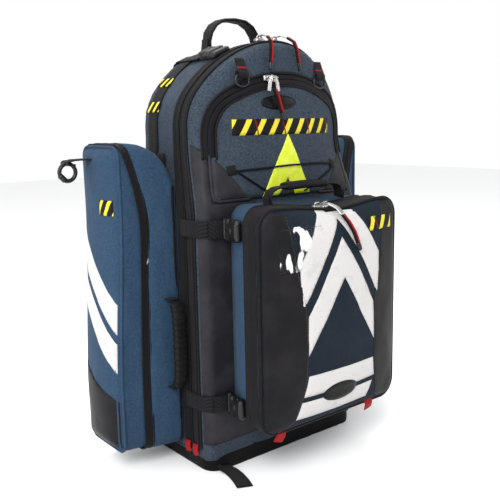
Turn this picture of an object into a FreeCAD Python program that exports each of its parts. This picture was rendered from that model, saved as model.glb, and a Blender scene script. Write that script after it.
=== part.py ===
"""First-responder backpack: a hollow pack body with a falling front lid, an upper pocket flap, a removable
front pouch, two removable side pouches, release buckles, zips, grips and a carrying harness.

Millimetres. The origin is the middle of the underside. +Z is up, -Y is the front and +Y is the wearer's side.
"""
import FreeCAD, Part
import math
import os

V = FreeCAD.Vector
SIDES = ((-1, "left"), (1, "right"))

# Pack body
HALF_WIDTH = 160.0
HEIGHT = 645.0
FRONT_Y = -80.0
SEAM_Y = -55.0
BACK_Y = 74.0
SHOULDER_Z = 520.0
SHOULDER_R = 90.0
FLOOR_Z = 12.0
WALL = 6.0
GAP = 0.3
SHELF_Z = (226.0, 420.0)
SHELF_T = 6.0
ZIP_TAPE_T = 1.5
ZIP_FOOT_Z = 40.0

# Front lid and its upper pocket
LID_FACE_Y = -96.0
FLAP_HALF = 140.0
FLAP_FOOT_Z = 414.0
FLAP_TOP_Z = 589.0
FLAP_FACE_Y = -102.0
TAPE_T = 1.1

# Front pouch
POUCH_FOOT_Z = 88.0
POUCH_TOP_Z = 408.0
POUCH_BACK_Y = -100.0
POUCH_SPLIT_Y = -168.0
POUCH_EDGE_Y = -197.0
POUCH_FACE_Y = -222.0
POUCH_BACK_HALF = 111.0
POUCH_SPLIT_HALF = 129.0
POUCH_FACE_HALF = 137.0
POUCH_WALL = 4.0
POUCH_CORNER_R = 26.0

# Side pouches, for the one on +X
SIDE_FOOT_Z = 34.0
SIDE_TOP_Z = 497.0
SIDE_IN_X = 163.0
SIDE_SPLIT_X = 214.0
SIDE_OUT_X = 267.0
SIDE_FRONT_IN_Y = -30.0
SIDE_FRONT_OUT_Y = -12.0
SIDE_BACK_IN_Y = 72.0
SIDE_BACK_OUT_Y = 92.0
SIDE_BULGE = 10.0
SIDE_WALL = 4.0
SIDE_CORNER_R = 28.0
SIDE_SHOULDER_R = 70.0
SIDE_ZIP_LEAN = 32.0

# Buckles, grips and zip sliders
WEB_HALF = 12.5
BUCKLE_HALF = 16.0
BUCKLE_T = 11.0
SOCKET_L = 34.0
PRONG_L = 24.0
UPPER_STRAP_Z = 376.0
LOWER_STRAP_Z = 112.0
TOP_STRAP_X = 80.0
GRIP_HALF = 8.0
SLIDER_HALF = 4.5

os.makedirs("parts", exist_ok=True)
nodes = {}


def put(name, *shapes):
    """Keep the shapes as one node, and write it."""
    shape = shapes[0] if len(shapes) == 1 else Part.makeCompound(list(shapes))
    nodes[name] = shape
    shape.exportStep(f"parts/{name}.step")


def block(x0, x1, y0, y1, z0, z1):
    x0, x1 = min(x0, x1), max(x0, x1)
    return Part.makeBox(x1 - x0, y1 - y0, z1 - z0, V(x0, y0, z0))


def prism(points, pull):
    """A closed polygon, pulled along a vector."""
    corners = [V(*p) for p in points]
    return Part.Face(Part.makePolygon(corners + corners[:1])).extrude(V(*pull))


def front_prism(points, y0, y1):
    return prism([(x, y0, z) for x, z in points], (0, y1 - y0, 0))


def plan_prism(points, z0, z1):
    return prism([(x, y, z0) for x, y in points], (0, 0, z1 - z0))


def side_prism(points, x0, x1):
    return prism([(x0, y, z) for y, z in points], (x1 - x0, 0, 0))


def joined(*shapes):
    whole = shapes[0]
    for shape in shapes[1:]:
        whole = whole.fuse(shape)
    return whole.removeSplitter()


def mirrored(shape):
    return shape.mirror(V(0, 0, 0), V(1, 0, 0))


def rod(a, b, radius):
    way = V(*b) - V(*a)
    return Part.makeCylinder(radius, way.Length, V(*a), way)


def arched(half, foot, shoulder, top, radius, y0, y1, foot_r=18.0):
    """A bag panel with upright sides, round shoulders and a crowned top, all tangent, from y0 to y1."""
    across = half - radius
    rise = top - shoulder - radius
    reach = (rise * rise + across * across) / (2 * rise)
    turn = math.acos(across / reach)
    hip = (across + radius * math.cos(turn), shoulder + radius * math.sin(turn))
    mid = (across + radius * math.cos(turn / 2), shoulder + radius * math.sin(turn / 2))
    bend = foot_r * (1 - math.sqrt(0.5))
    heel = (half - bend, foot + bend)

    def arc(a, b, c):
        return Part.Arc(*(V(x, y0, z) for x, z in (a, b, c))).toShape()

    def line(a, b):
        return Part.LineSegment(V(a[0], y0, a[1]), V(b[0], y0, b[1])).toShape()

    edges = [
        line((-half + foot_r, foot), (half - foot_r, foot)),
        arc((half - foot_r, foot), heel, (half, foot + foot_r)),
        line((half, foot + foot_r), (half, shoulder)),
        arc((half, shoulder), mid, hip),
        arc(hip, (0, top), (-hip[0], hip[1])),
        arc((-hip[0], hip[1]), (-mid[0], mid[1]), (-half, shoulder)),
        line((-half, shoulder), (-half, foot + foot_r)),
        arc((-half, foot + foot_r), (-heel[0], heel[1]), (-half + foot_r, foot)),
    ]
    return Part.Face(Part.Wire(edges)).extrude(V(0, y1 - y0, 0))


def body_arch(inset, y0, y1):
    """The pack body's outline, drawn in by inset."""
    return arched(HALF_WIDTH - inset, FLOOR_Z + inset, SHOULDER_Z, HEIGHT - inset, SHOULDER_R - inset, y0, y1)


def rounded(half, z0, z1, radius, y0, y1):
    """A plate with four round corners, from y0 to y1."""
    plate = block(-half, half, y0, y1, z0, z1)
    corners = [e for e in plate.Edges if abs(e.Vertexes[0].Y - e.Vertexes[-1].Y) > 1]
    return plate.makeFillet(radius, corners)


# Pack body

def make_body():
    put("main_tub", body_arch(0, SEAM_Y, BACK_Y).cut(body_arch(WALL, SEAM_Y - 1, BACK_Y - WALL)))
    put("frame_sheet", arched(148, 24, 515, 628, 76, BACK_Y - WALL - 3, BACK_Y - WALL))
    put("inner_shelves", *[block(-153.5, 153.5, -42, 64, z, z + SHELF_T) for z in SHELF_Z])
    put("back_panel", arched(146, 40, 510, 622, 74, BACK_Y, BACK_Y + 14))
    put("lumbar_pad", rounded(120, 60, 180, 24, BACK_Y + 14, BACK_Y + 28))
    plate = block(-156, 156, LID_FACE_Y, BACK_Y + 4, 0, FLOOR_Z - 0.1)
    corners = [e for e in plate.Edges if abs(e.Vertexes[0].Z - e.Vertexes[-1].Z) > 1]
    put("base_boot", plate.makeFillet(24, corners))
    ring = body_arch(-ZIP_TAPE_T, SEAM_Y, SEAM_Y + 13).cut(body_arch(0, SEAM_Y - 1, SEAM_Y + 14))
    put("main_zip_tape", ring.cut(block(-200, 200, -80, 0, 0, ZIP_FOOT_Z)))
    put("base_strap", block(-142, -116, -162, LID_FACE_Y - GAP, 0, 3))


def buckle_socket():
    """A release buckle's socket at the origin: its mouth faces +Y, its fixed end -Y, and -Z is its open rear."""
    cover = block(-BUCKLE_HALF, BUCKLE_HALF, -SOCKET_L, 0, 0, BUCKLE_T)
    hollow = block(-BUCKLE_HALF + 2.5, BUCKLE_HALF - 2.5, -SOCKET_L + 5, 1, -1, BUCKLE_T - 2)
    return cover.cut(hollow)


def buckle_plug():
    """The plug that fits it: two prongs and a guide, and outside the mouth a bar that the webbing goes round."""
    head = block(-BUCKLE_HALF, BUCKLE_HALF, 1, 15.9, 1.5, 7.5).cut(block(-WEB_HALF, WEB_HALF, 6, 11, 0, 9))
    prongs = [block(s * 10 - 2, s * 10 + 2, -PRONG_L, 2, 2, 7) for s in (-1, 1)]
    return joined(head, block(-2, 2, -PRONG_L + 6, 2, 3, 6), *prongs)


def on_pouch_side(shape, side, z):
    """Stand a buckle on the front pouch's side wall: its rear to the wall, its mouth to the back."""
    turned = shape.copy()
    turned.rotate(V(0, 0, 0), V(0, 1, 0), 90 * side)
    turned.translate(V(side * 125.0, -114.0, z))
    return turned


def on_crown(shape, side):
    """Lay a buckle on the pack's crown: its mouth to the front."""
    turned = shape.copy()
    turned.rotate(V(0, 0, 0), V(0, 0, 1), 180)
    turned.rotate(V(0, 0, 0), V(0, 1, 0), side * 22.0)
    turned.translate(V(side * TOP_STRAP_X, -34.0, 630.0))
    return turned


def make_top_buckles():
    """Two webbings over the crown: each has its socket on the body and its plug on the lid."""
    webs = []
    sockets = []
    plugs = []
    for side, word in SIDES:
        band = block(side * TOP_STRAP_X - WEB_HALF, side * TOP_STRAP_X + WEB_HALF, 4, BACK_Y, 560, 660)
        webs.append(band.common(body_arch(-2.0, 0, BACK_Y)).cut(body_arch(0, -1, BACK_Y + 1)))
        sockets.append(on_crown(buckle_socket(), side))
        plugs.append(on_crown(buckle_plug(), side))
    put("crown_webbing", *webs)
    put("top_buckle_sockets", *sockets)
    put("top_buckle_plugs", *plugs)


# Front lid

def make_lid():
    rim = body_arch(0, FRONT_Y, SEAM_Y - GAP).cut(body_arch(WALL, FRONT_Y + WALL, SEAM_Y))
    raised = arched(150, 24, 515, 632, 82, LID_FACE_Y, FRONT_Y)
    pocket = arched(FLAP_HALF - 10, FLAP_FOOT_Z + 12, 505, FLAP_TOP_Z - 12, 50, LID_FACE_Y - 1, FRONT_Y + 1, 8)
    put("lid_shell", joined(rim, raised).cut(pocket))
    ring = body_arch(-ZIP_TAPE_T, FRONT_Y + 6, SEAM_Y - GAP).cut(body_arch(0, FRONT_Y, SEAM_Y))
    put("lid_zip_tape", ring.cut(block(-200, 200, -80, 0, 0, ZIP_FOOT_Z)))
    left = front_prism([(-149, 60), (-60, 60), (-60, 411), (-140.8, 411), (-140.8, 480), (-149, 490)],
                       LID_FACE_Y - 2, LID_FACE_Y)
    put("coated_wings", left, mirrored(left))
    straps = []
    plugs = []
    for side, word in SIDES:
        for z in (UPPER_STRAP_Z, LOWER_STRAP_Z):
            outline = [(163.4, -60), (163.4, -82), (152, -101), (141, -106.5), (134, -106.5), (134, -104.6),
                       (140, -104.6), (150.6, -98.6), (161.7, -81), (161.7, -60)]
            straps.append(plan_prism([(side * x, y) for x, y in outline], z - WEB_HALF, z + WEB_HALF))
            plugs.append(on_pouch_side(buckle_plug(), side, z))
    webbing = [s.cut(Part.makeCompound(plugs)) for s in straps]
    put("compression_straps", *webbing)
    put("front_buckle_plugs", *plugs)
    tabs = []
    for side, word in SIDES:
        x = side * 84.0
        tab = block(x - 8, x + 8, LID_FACE_Y - 8, LID_FACE_Y, 588, 604)
        tabs.append(tab.cut(block(x - 9, x + 9, LID_FACE_Y - 6.4, LID_FACE_Y - 1.6, 587, 599)))
        bar = Part.makeBox(26, 3, 3, V(x - 13, LID_FACE_Y - 5.5, 593))
        frame = block(x - 13, x + 13, LID_FACE_Y - 5.5, LID_FACE_Y - 2.5, 578.7, 596)
        put(f"{word}_d_ring", joined(frame.cut(block(x - 10, x + 10, -120, -90, 581.5, 593)), bar))
    put("ring_tabs", *tabs)


# Upper pocket flap

def make_flap():
    put("flap_shell", arched(FLAP_HALF, FLAP_FOOT_Z, 510, FLAP_TOP_Z, 60, FLAP_FACE_Y, LID_FACE_Y - GAP, 6))
    tape_y = (FLAP_FACE_Y - TAPE_T, FLAP_FACE_Y)
    put("flap_stripe_tape", block(-97, 97, *tape_y, 512, 534))
    chevron = [(0, 508), (48, 416), (17, 416), (0, 442), (-17, 416), (-48, 416)]
    put("hi_vis_chevron", front_prism(chevron, *tape_y))
    y = FLAP_FACE_Y - 4.0
    route = [(-36, y, 420), (-100, y, 458), (100, y, 456), (32, y, 420)]
    runs = [rod(a, b, 1.5) for a, b in zip(route, route[1:])]
    corners = [Part.makeSphere(1.5, V(*p)) for p in route[1:3]]
    put("bungee_cord", joined(*runs, *corners))
    tabs = [block(s * 104 - 6, s * 104 + 6, FLAP_FACE_Y - 2, FLAP_FACE_Y, 450, 465) for s in (-1, 1)]
    put("bungee_tabs", *tabs)


# Front pouch

def pouch_face(lift, z0, z1):
    """A slice of the pouch's curved front, from its edges forward, raised by lift."""
    y = POUCH_FACE_Y - lift
    edge = POUCH_EDGE_Y - lift
    half = POUCH_FACE_HALF
    arc = Part.Arc(V(half, edge, z0), V(0, y, z0), V(-half, edge, z0)).toShape()
    chord = Part.LineSegment(V(-half, edge, z0), V(half, edge, z0)).toShape()
    return Part.Face(Part.Wire([arc, chord])).extrude(V(0, 0, z1 - z0))


def on_face(points, thick=TAPE_T):
    """A flat cut-out laid on the pouch's curved front."""
    z = [p[1] for p in points]
    skin = pouch_face(0.2 + thick, min(z) - 1, max(z) + 1).cut(pouch_face(0.2, min(z) - 2, max(z) + 2))
    return skin.common(front_prism(points, POUCH_FACE_Y - 10, POUCH_EDGE_Y - 3))


def make_front_pouch():
    w = POUCH_WALL
    tub = plan_prism([(-POUCH_BACK_HALF, POUCH_BACK_Y), (POUCH_BACK_HALF, POUCH_BACK_Y),
                      (POUCH_SPLIT_HALF, POUCH_SPLIT_Y), (-POUCH_SPLIT_HALF, POUCH_SPLIT_Y)],
                     POUCH_FOOT_Z, POUCH_TOP_Z)
    room = plan_prism([(-POUCH_BACK_HALF + w, POUCH_BACK_Y - w), (POUCH_BACK_HALF - w, POUCH_BACK_Y - w),
                       (POUCH_SPLIT_HALF - w, POUCH_SPLIT_Y - 1), (-POUCH_SPLIT_HALF + w, POUCH_SPLIT_Y - 1)],
                      POUCH_FOOT_Z + w, POUCH_TOP_Z - w)
    lugs = [block(s * 75, s * 79, -146, -134, POUCH_TOP_Z - 1, POUCH_TOP_Z + 14) for s in (-1, 1)]
    put("front_pouch_tub", joined(tub.cut(room), *lugs))
    sockets = [on_pouch_side(buckle_socket(), side, z) for side, word in SIDES
               for z in (UPPER_STRAP_Z, LOWER_STRAP_Z)]
    put("front_buckle_sockets", *sockets)

    seam = POUCH_SPLIT_Y - GAP
    half = POUCH_FACE_HALF
    box = plan_prism([(-POUCH_SPLIT_HALF, seam), (POUCH_SPLIT_HALF, seam), (half, POUCH_EDGE_Y),
                      (-half, POUCH_EDGE_Y)], POUCH_FOOT_Z, POUCH_TOP_Z)
    body = joined(box, pouch_face(0, POUCH_FOOT_Z, POUCH_TOP_Z))
    body = body.common(rounded(half + 1, POUCH_FOOT_Z, POUCH_TOP_Z, POUCH_CORNER_R, POUCH_FACE_Y - 1, seam))
    space = plan_prism([(-POUCH_SPLIT_HALF + w, seam + 1), (POUCH_SPLIT_HALF - w, seam + 1),
                        (half - w, POUCH_EDGE_Y + w), (w - half, POUCH_EDGE_Y + w)],
                       POUCH_FOOT_Z + w, POUCH_TOP_Z - w)
    space = joined(space, pouch_face(-w, POUCH_FOOT_Z + w, POUCH_TOP_Z - w))
    space = space.common(rounded(half - w, POUCH_FOOT_Z + w, POUCH_TOP_Z - w, POUCH_CORNER_R - w,
                                 POUCH_FACE_Y - 1, seam + 2))
    put("front_pouch_lid_shell", body.cut(space))

    slope = 1.56

    def chevron(apex, inner_apex, reach, top):
        """An upside-down V with its legs cut off at reach and its head cut off at top."""
        cut = (apex - top) / slope
        head = [(-cut, top), (cut, top)] if cut > 0 else [(0, apex)]
        foot = inner_apex - slope * reach
        waist = apex - slope * reach
        if inner_apex > top:
            raise ValueError("the head cut leaves no inner apex")
        return head + [(reach, waist), (reach, foot), (0, inner_apex), (-reach, foot), (-reach, waist)]

    outer = on_face(chevron(456, 388, 80, 402))
    put("pouch_outer_chevron", outer)
    put("pouch_inner_chevron", on_face(chevron(362, 304, 68, 402)))
    bands = [on_face([(-67, 168), (67, 168), (74, 137), (-74, 137)]),
             on_face([(-76, 129), (70, 129), (62, 103), (-84, 103)])]
    put("pouch_lower_bands", *bands)
    window = on_face([(-118, 386), (-37, 386), (-81, 318), (-81, 336), (-118, 336)], 0.8)
    put("pouch_window", window.cut(outer))

    y = -140.0
    strap = joined(block(-74, -71, y - 8, y + 8, 417, 427), block(71, 74, y - 8, y + 8, 417, 427),
                   front_prism([(-74, 427), (-60, 435), (60, 435), (74, 427), (71, 427), (58, 432), (-58, 432),
                                (-71, 427)], y - 8, y + 8))
    ends = [Part.makeCylinder(8, 3, V(x, y, 417), V(1, 0, 0)) for x in (-74, 71)]
    strap = joined(strap, *ends)
    put("front_handle_strap", strap)
    sleeve = block(-42, 42, y - 13, y + 13, 427.5, 439.5).cut(block(-43, 43, y - 8.1, y + 8.1, 431.9, 435.1))
    put("front_grip_sleeve", sleeve)


# Side pouches

def side_front(x, inset=0.0):
    """Where a side pouch's slanting front stands at x."""
    slope = (SIDE_FRONT_OUT_Y - SIDE_FRONT_IN_Y) / (SIDE_OUT_X - SIDE_IN_X)
    return SIDE_FRONT_IN_Y + slope * (x - SIDE_IN_X) + inset


def side_back(x, inset=0.0):
    slope = (SIDE_BACK_OUT_Y - SIDE_BACK_IN_Y) / (SIDE_OUT_X - SIDE_IN_X)
    return SIDE_BACK_IN_Y + slope * (x - SIDE_IN_X) - inset


def side_solid(inset):
    """The whole right side pouch, drawn in by inset: a bulging outer face and a round inner shoulder."""
    x0, x1 = SIDE_IN_X + inset, SIDE_OUT_X - inset
    z0, z1 = SIDE_FOOT_Z + inset, SIDE_TOP_Z - inset
    a = V(x0, side_front(x0, inset), z0)
    b = V(x1, side_front(x1, inset), z0)
    c = V(x1, side_back(x1, inset), z0)
    d = V(x0, side_back(x0, inset), z0)
    crest = V(x1 + SIDE_BULGE, (b.y + c.y) / 2, z0)
    edges = [Part.LineSegment(a, b).toShape(), Part.Arc(b, crest, c).toShape(),
             Part.LineSegment(c, d).toShape(), Part.LineSegment(d, a).toShape()]
    solid = Part.Face(Part.Wire(edges)).extrude(V(0, 0, z1 - z0))
    right = x1 + SIDE_BULGE
    plate = block(x0, right, -60, 130, z0, z1)
    across = [e for e in plate.Edges if e.BoundBox.YLength > 1]
    outer = [e for e in across if e.BoundBox.XMin > right - 1]
    plate = plate.makeFillet(SIDE_CORNER_R - inset, outer)
    across = [e for e in plate.Edges if e.BoundBox.YLength > 1 and e.BoundBox.XMax < x0 + 1
              and e.BoundBox.ZMin > z1 - 1]
    return solid.common(plate.makeFillet(SIDE_SHOULDER_R - inset, across))


def side_zip_region(gap):
    """Everything on the pack's side of a side pouch's zip, which runs up and then leans outward."""
    x = SIDE_SPLIT_X + gap
    top = SIDE_TOP_Z + 3
    low = SIDE_TOP_Z - 120
    points = [(100, 0), (x, 0), (x, low)]
    lines = [Part.LineSegment(V(p[0], -90, p[1]), V(q[0], -90, q[1])).toShape() for p, q in zip(points, points[1:])]
    lean = Part.Arc(V(x, -90, low), V(x + 9, -90, low + 66), V(x + SIDE_ZIP_LEAN, -90, top)).toShape()
    rest = [(x + SIDE_ZIP_LEAN, top), (100, top), (100, 0)]
    lines += [lean]
    lines += [Part.LineSegment(V(p[0], -90, p[1]), V(q[0], -90, q[1])).toShape() for p, q in zip(rest, rest[1:])]
    return Part.Face(Part.Wire(lines)).extrude(V(0, 240, 0))


def make_side_pouches():
    w = SIDE_WALL
    shell = side_solid(0).cut(side_solid(w))
    tub = shell.common(side_zip_region(0))
    lugs = [block(173, 181, -46, -26, z, z + 8) for z in (124, 266)]
    tub = joined(tub, *[lug.cut(side_solid(0)) for lug in lugs])
    lid = shell.cut(side_zip_region(GAP))
    grip = joined(block(169, 185, -60, -48, 132.5, 265.5), block(169, 185, -50, -40, 132.5, 136.5),
                  block(169, 185, -50, -40, 261.5, 265.5),
                  Part.makeCylinder(GRIP_HALF, 4, V(177, -40, 132.5)),
                  Part.makeCylinder(GRIP_HALF, 4, V(177, -40, 261.5)))
    skin = side_solid(-0.2 - TAPE_T).cut(side_solid(-0.2))
    middle = (SIDE_FRONT_OUT_Y + SIDE_BACK_OUT_Y) / 2
    reach = middle - SIDE_FRONT_OUT_Y - 2
    slashes = []
    for foot in (222, 163):
        front, back, rise = middle - reach, middle + reach, 2.28 * reach
        outline = [(front, foot), (back, foot + rise), (back, foot + rise + 44), (front, foot + 44)]
        slashes.append(skin.common(side_prism(outline, SIDE_OUT_X - 3, SIDE_OUT_X + 30)))
    slider = block(SIDE_SPLIT_X + 1, SIDE_SPLIT_X + 10, -31, -22.6, 330, 342)
    for side, word in SIDES:
        for name, shapes in (("pouch_tub", [tub]), ("pouch_lid_shell", [lid]), ("side_grip", [grip]),
                             ("pouch_reflectors", slashes), ("pouch_zip_slider", [slider])):
            placed = shapes if side > 0 else [mirrored(s) for s in shapes]
            put(f"{word}_{name}", *placed)


# Handles, rings and zip sliders

def make_haul_handle():
    y = 30.0
    outer = [(-55, 652), (-52, 665), (-30, 686), (-14, 690), (14, 690), (30, 686), (52, 665), (55, 652)]
    inner = [(50, 652), (47.5, 662), (27, 682), (13, 685.5), (-13, 685.5), (-27, 682), (-47.5, 662), (-50, 652)]
    loop = front_prism(outer + inner, y - 12, y + 12)
    ends = [Part.makeCylinder(12, 5, V(x, y, 652), V(1, 0, 0)) for x in (-55, 50)]
    put("haul_handle", joined(loop, *ends))
    lugs = [block(s * 56, s * 60, y - 8, y + 8, 620, 658).cut(body_arch(0, -10, 70)) for s in (-1, 1)]
    put("haul_lugs", *lugs)


def make_sliders():
    """Zip sliders, each with its pull hinged at the front of the slider and hanging over the edge."""
    h = SLIDER_HALF
    for x, word in ((-20, "left"), (12, "right")):
        put(f"main_zip_slider_{word}", block(x - h, x + h, -66, -57, HEIGHT + ZIP_TAPE_T + GAP, 653))
        put(f"main_zip_pull_{word}", side_prism([(-66.4, 649), (-66.4, 651), (-100, 648), (-103, 640), (-103, 612),
                                                (-101, 612), (-101, 640), (-99, 646)], x - 3, x + 3))
    put("flap_zip_slider", block(-40, -28, -107, -99, FLAP_TOP_Z + GAP, 596))
    put("flap_zip_pull", side_prism([(-107.4, 590), (-107.4, 595), (-109.4, 595), (-109.4, 556), (-107.4, 556)],
                                    -37, -31))
    put("front_zip_slider", block(-15, -6, -192, -183, POUCH_TOP_Z + GAP, POUCH_TOP_Z + 7))
    put("front_zip_pull", side_prism([(-192.4, 411), (-192.4, 413), (-224, 412), (-227.5, 404), (-227.5, 356),
                                      (-225.5, 356), (-225.5, 403), (-223, 410)], -13.5, -7.5))


def make_snap_hook():
    ring = Part.makeTorus(15, 2.2, V(-294.6, 55, 458), V(0, 1, 0))
    put("snap_hook", ring)
    tab = block(-292, -255, 51, 59, 475.4, 478).cut(mirrored(side_solid(0)))
    put("snap_hook_tab", tab)


# Carrying harness, on the wearer's side

def make_harness():
    pad = [(88.8, 572), (112, 528), (124, 430), (108, 310), (90.5, 226), (101, 214), (122, 303), (139, 430),
           (126, 536), (100, 590)]
    strap = side_prism(pad, 48, 112)
    wing = block(8, 124, 104, 118, 78, 162)
    corners = [e for e in wing.Edges if e.BoundBox.XMax < 9 and e.BoundBox.YLength > 1]
    wing = wing.makeFillet(20, corners)
    for side, word in SIDES:
        put(f"{word}_shoulder_strap", strap if side > 0 else mirrored(strap))
        put(f"{word}_hip_wing", wing if side > 0 else mirrored(wing))
    put("sternum_strap", block(-47.7, 47.7, 125, 128, 470, 490))


make_body()
make_top_buckles()
make_lid()
make_flap()
make_front_pouch()
make_side_pouches()
make_haul_handle()
make_sliders()
make_snap_hook()
make_harness()
bad = [name for name, shape in nodes.items() if not shape.isValid() or not shape.Solids]
print(len(nodes), "nodes;", "all valid" if not bad else f"invalid: {bad}")
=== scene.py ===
"""First-responder backpack: the looks of a soft pack with a falling front lid, an upper pocket flap, a
removable front pouch, two side pouches and a carrying harness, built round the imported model.

Sizes are in millimetres, in the model's own frame: +Z is up, -Y is the front and +Y is the wearer's side.
"""
import math

import bmesh
import bpy
import numpy as np
from mathutils import Matrix, Vector, noise
from mathutils.bvhtree import BVHTree


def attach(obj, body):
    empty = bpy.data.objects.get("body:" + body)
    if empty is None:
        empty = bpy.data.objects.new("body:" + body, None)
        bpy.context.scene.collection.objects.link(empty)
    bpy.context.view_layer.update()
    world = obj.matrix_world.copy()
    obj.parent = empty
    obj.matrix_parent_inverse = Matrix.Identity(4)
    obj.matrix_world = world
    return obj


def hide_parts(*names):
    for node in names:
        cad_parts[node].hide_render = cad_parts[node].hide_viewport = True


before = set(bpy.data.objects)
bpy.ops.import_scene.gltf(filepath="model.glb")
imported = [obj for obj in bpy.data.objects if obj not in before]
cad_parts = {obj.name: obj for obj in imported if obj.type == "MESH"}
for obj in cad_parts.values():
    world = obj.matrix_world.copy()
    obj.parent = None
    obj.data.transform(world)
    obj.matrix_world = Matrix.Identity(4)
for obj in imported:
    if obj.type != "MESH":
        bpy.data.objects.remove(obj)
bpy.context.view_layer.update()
MM = 0.001


# Camera, floor and light. A pale sweep of studio floor, one large soft light at the upper left, a weaker
# one from the right and a strip above, so that cloth shows its weave and the coated parts a dull gleam.

CAMERA_AT = Vector((-742.4, -928.7, 525.8)) * MM
LOOK_AT = Vector((-59.1, -80.0, 333.1)) * MM
ROLL = math.radians(-1.16)

camera = bpy.data.objects.new("camera", bpy.data.cameras.new("camera"))
camera.data.sensor_width = 36.0
camera.data.lens = 51.74
ahead = (LOOK_AT - CAMERA_AT).normalized()
right = ahead.cross(Vector((0, 0, 1))).normalized()
above = right.cross(ahead)
rolled_right = right * math.cos(ROLL) + above * math.sin(ROLL)
rolled_above = above * math.cos(ROLL) - right * math.sin(ROLL)
turn = Matrix((rolled_right, rolled_above, -ahead)).transposed().to_4x4()
camera.matrix_world = Matrix.Translation(CAMERA_AT) @ turn
bpy.context.collection.objects.link(camera)
bpy.context.scene.camera = camera
bpy.context.scene.view_settings.view_transform = "Standard"


def soft_light(name, place, aim, size, power, colour=(1.0, 1.0, 1.0)):
    lamp = bpy.data.objects.new(name, bpy.data.lights.new(name, "AREA"))
    lamp.data.shape = "RECTANGLE"
    lamp.data.size, lamp.data.size_y = size
    lamp.data.energy = power
    lamp.data.color = colour
    way = Vector(aim) - Vector(place)
    lamp.matrix_world = Matrix.Translation(place) @ way.to_track_quat("-Z", "Y").to_matrix().to_4x4()
    bpy.context.collection.objects.link(lamp)


soft_light("key_light", (-1.7, -1.5, 1.9), (0.0, -0.05, 0.33), (1.3, 1.3), 66)
soft_light("fill_light", (1.9, -1.6, 1.2), (0.0, 0.0, 0.3), (1.4, 1.6), 12)
soft_light("top_light", (0.1, 0.5, 2.3), (0.0, 0.0, 0.3), (1.6, 1.2), 30)
soft_light("side_light", (-2.2, 0.5, 0.8), (-0.2, 0.0, 0.3), (0.9, 1.5), 20)

world = bpy.data.worlds.new("studio")
world.use_nodes = True
world.node_tree.nodes["Background"].inputs["Color"].default_value = (1.0, 1.0, 1.0, 1.0)
world.node_tree.nodes["Background"].inputs["Strength"].default_value = 1.0
bpy.context.scene.world = world


# Shader arithmetic for every finish below: a wire is one output of a shader node.

class Wire:
    """One shader socket. Arithmetic on it adds Math nodes; node() adds any other node."""

    def __init__(self, tree, socket=None):
        self.tree, self.socket = tree, socket

    def node(self, kind, settings=None, sockets=None):
        made = self.tree.nodes.new("ShaderNode" + kind)
        for key, value in (settings or {}).items():
            if key == "stops":
                ramp = made.color_ramp
                while len(ramp.elements) < len(value):
                    ramp.elements.new(0.5)
                for stop, (place, shade) in zip(ramp.elements, value):
                    stop.position, stop.color = place, (*shade, 1.0)
            else:
                setattr(made, key, value)
        for key, value in (sockets or {}).items():
            if isinstance(value, Wire):
                self.tree.links.new(value.socket, made.inputs[key])
            else:
                made.inputs[key].default_value = value
        return made

    def math(self, operation, *values):
        made = self.node("Math", {"operation": operation}, dict(enumerate(values)))
        return Wire(self.tree, made.outputs[0])

    def __add__(self, other):
        return self.math("ADD", self, other)

    def __sub__(self, other):
        return self.math("SUBTRACT", self, other)

    def __rsub__(self, other):
        return self.math("SUBTRACT", other, self)

    def __mul__(self, other):
        return self.math("MULTIPLY", self, other)

    def __truediv__(self, other):
        return self.math("DIVIDE", self, other)

    __radd__, __rmul__ = __add__, __mul__

    def wave(self):
        return self.math("SINE", self)

    def fraction(self):
        return self.math("FRACT", self)

    def step(self, low, high):
        made = self.node("MapRange", {"interpolation_type": "SMOOTHSTEP"},
                         {"Value": self, "From Min": low, "From Max": high})
        return Wire(self.tree, made.outputs[0])


STUDIO_GAIN = 2.8


def linear(shade, gain=STUDIO_GAIN):
    """The pigment for a colour, 0 to 255, as it looks under the studio's light."""
    seen = tuple((c / 255 / 12.92) if c < 10.3 else ((c / 255 + 0.055) / 1.055) ** 2.4 for c in shade)
    return tuple(c / gain for c in seen)


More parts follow.
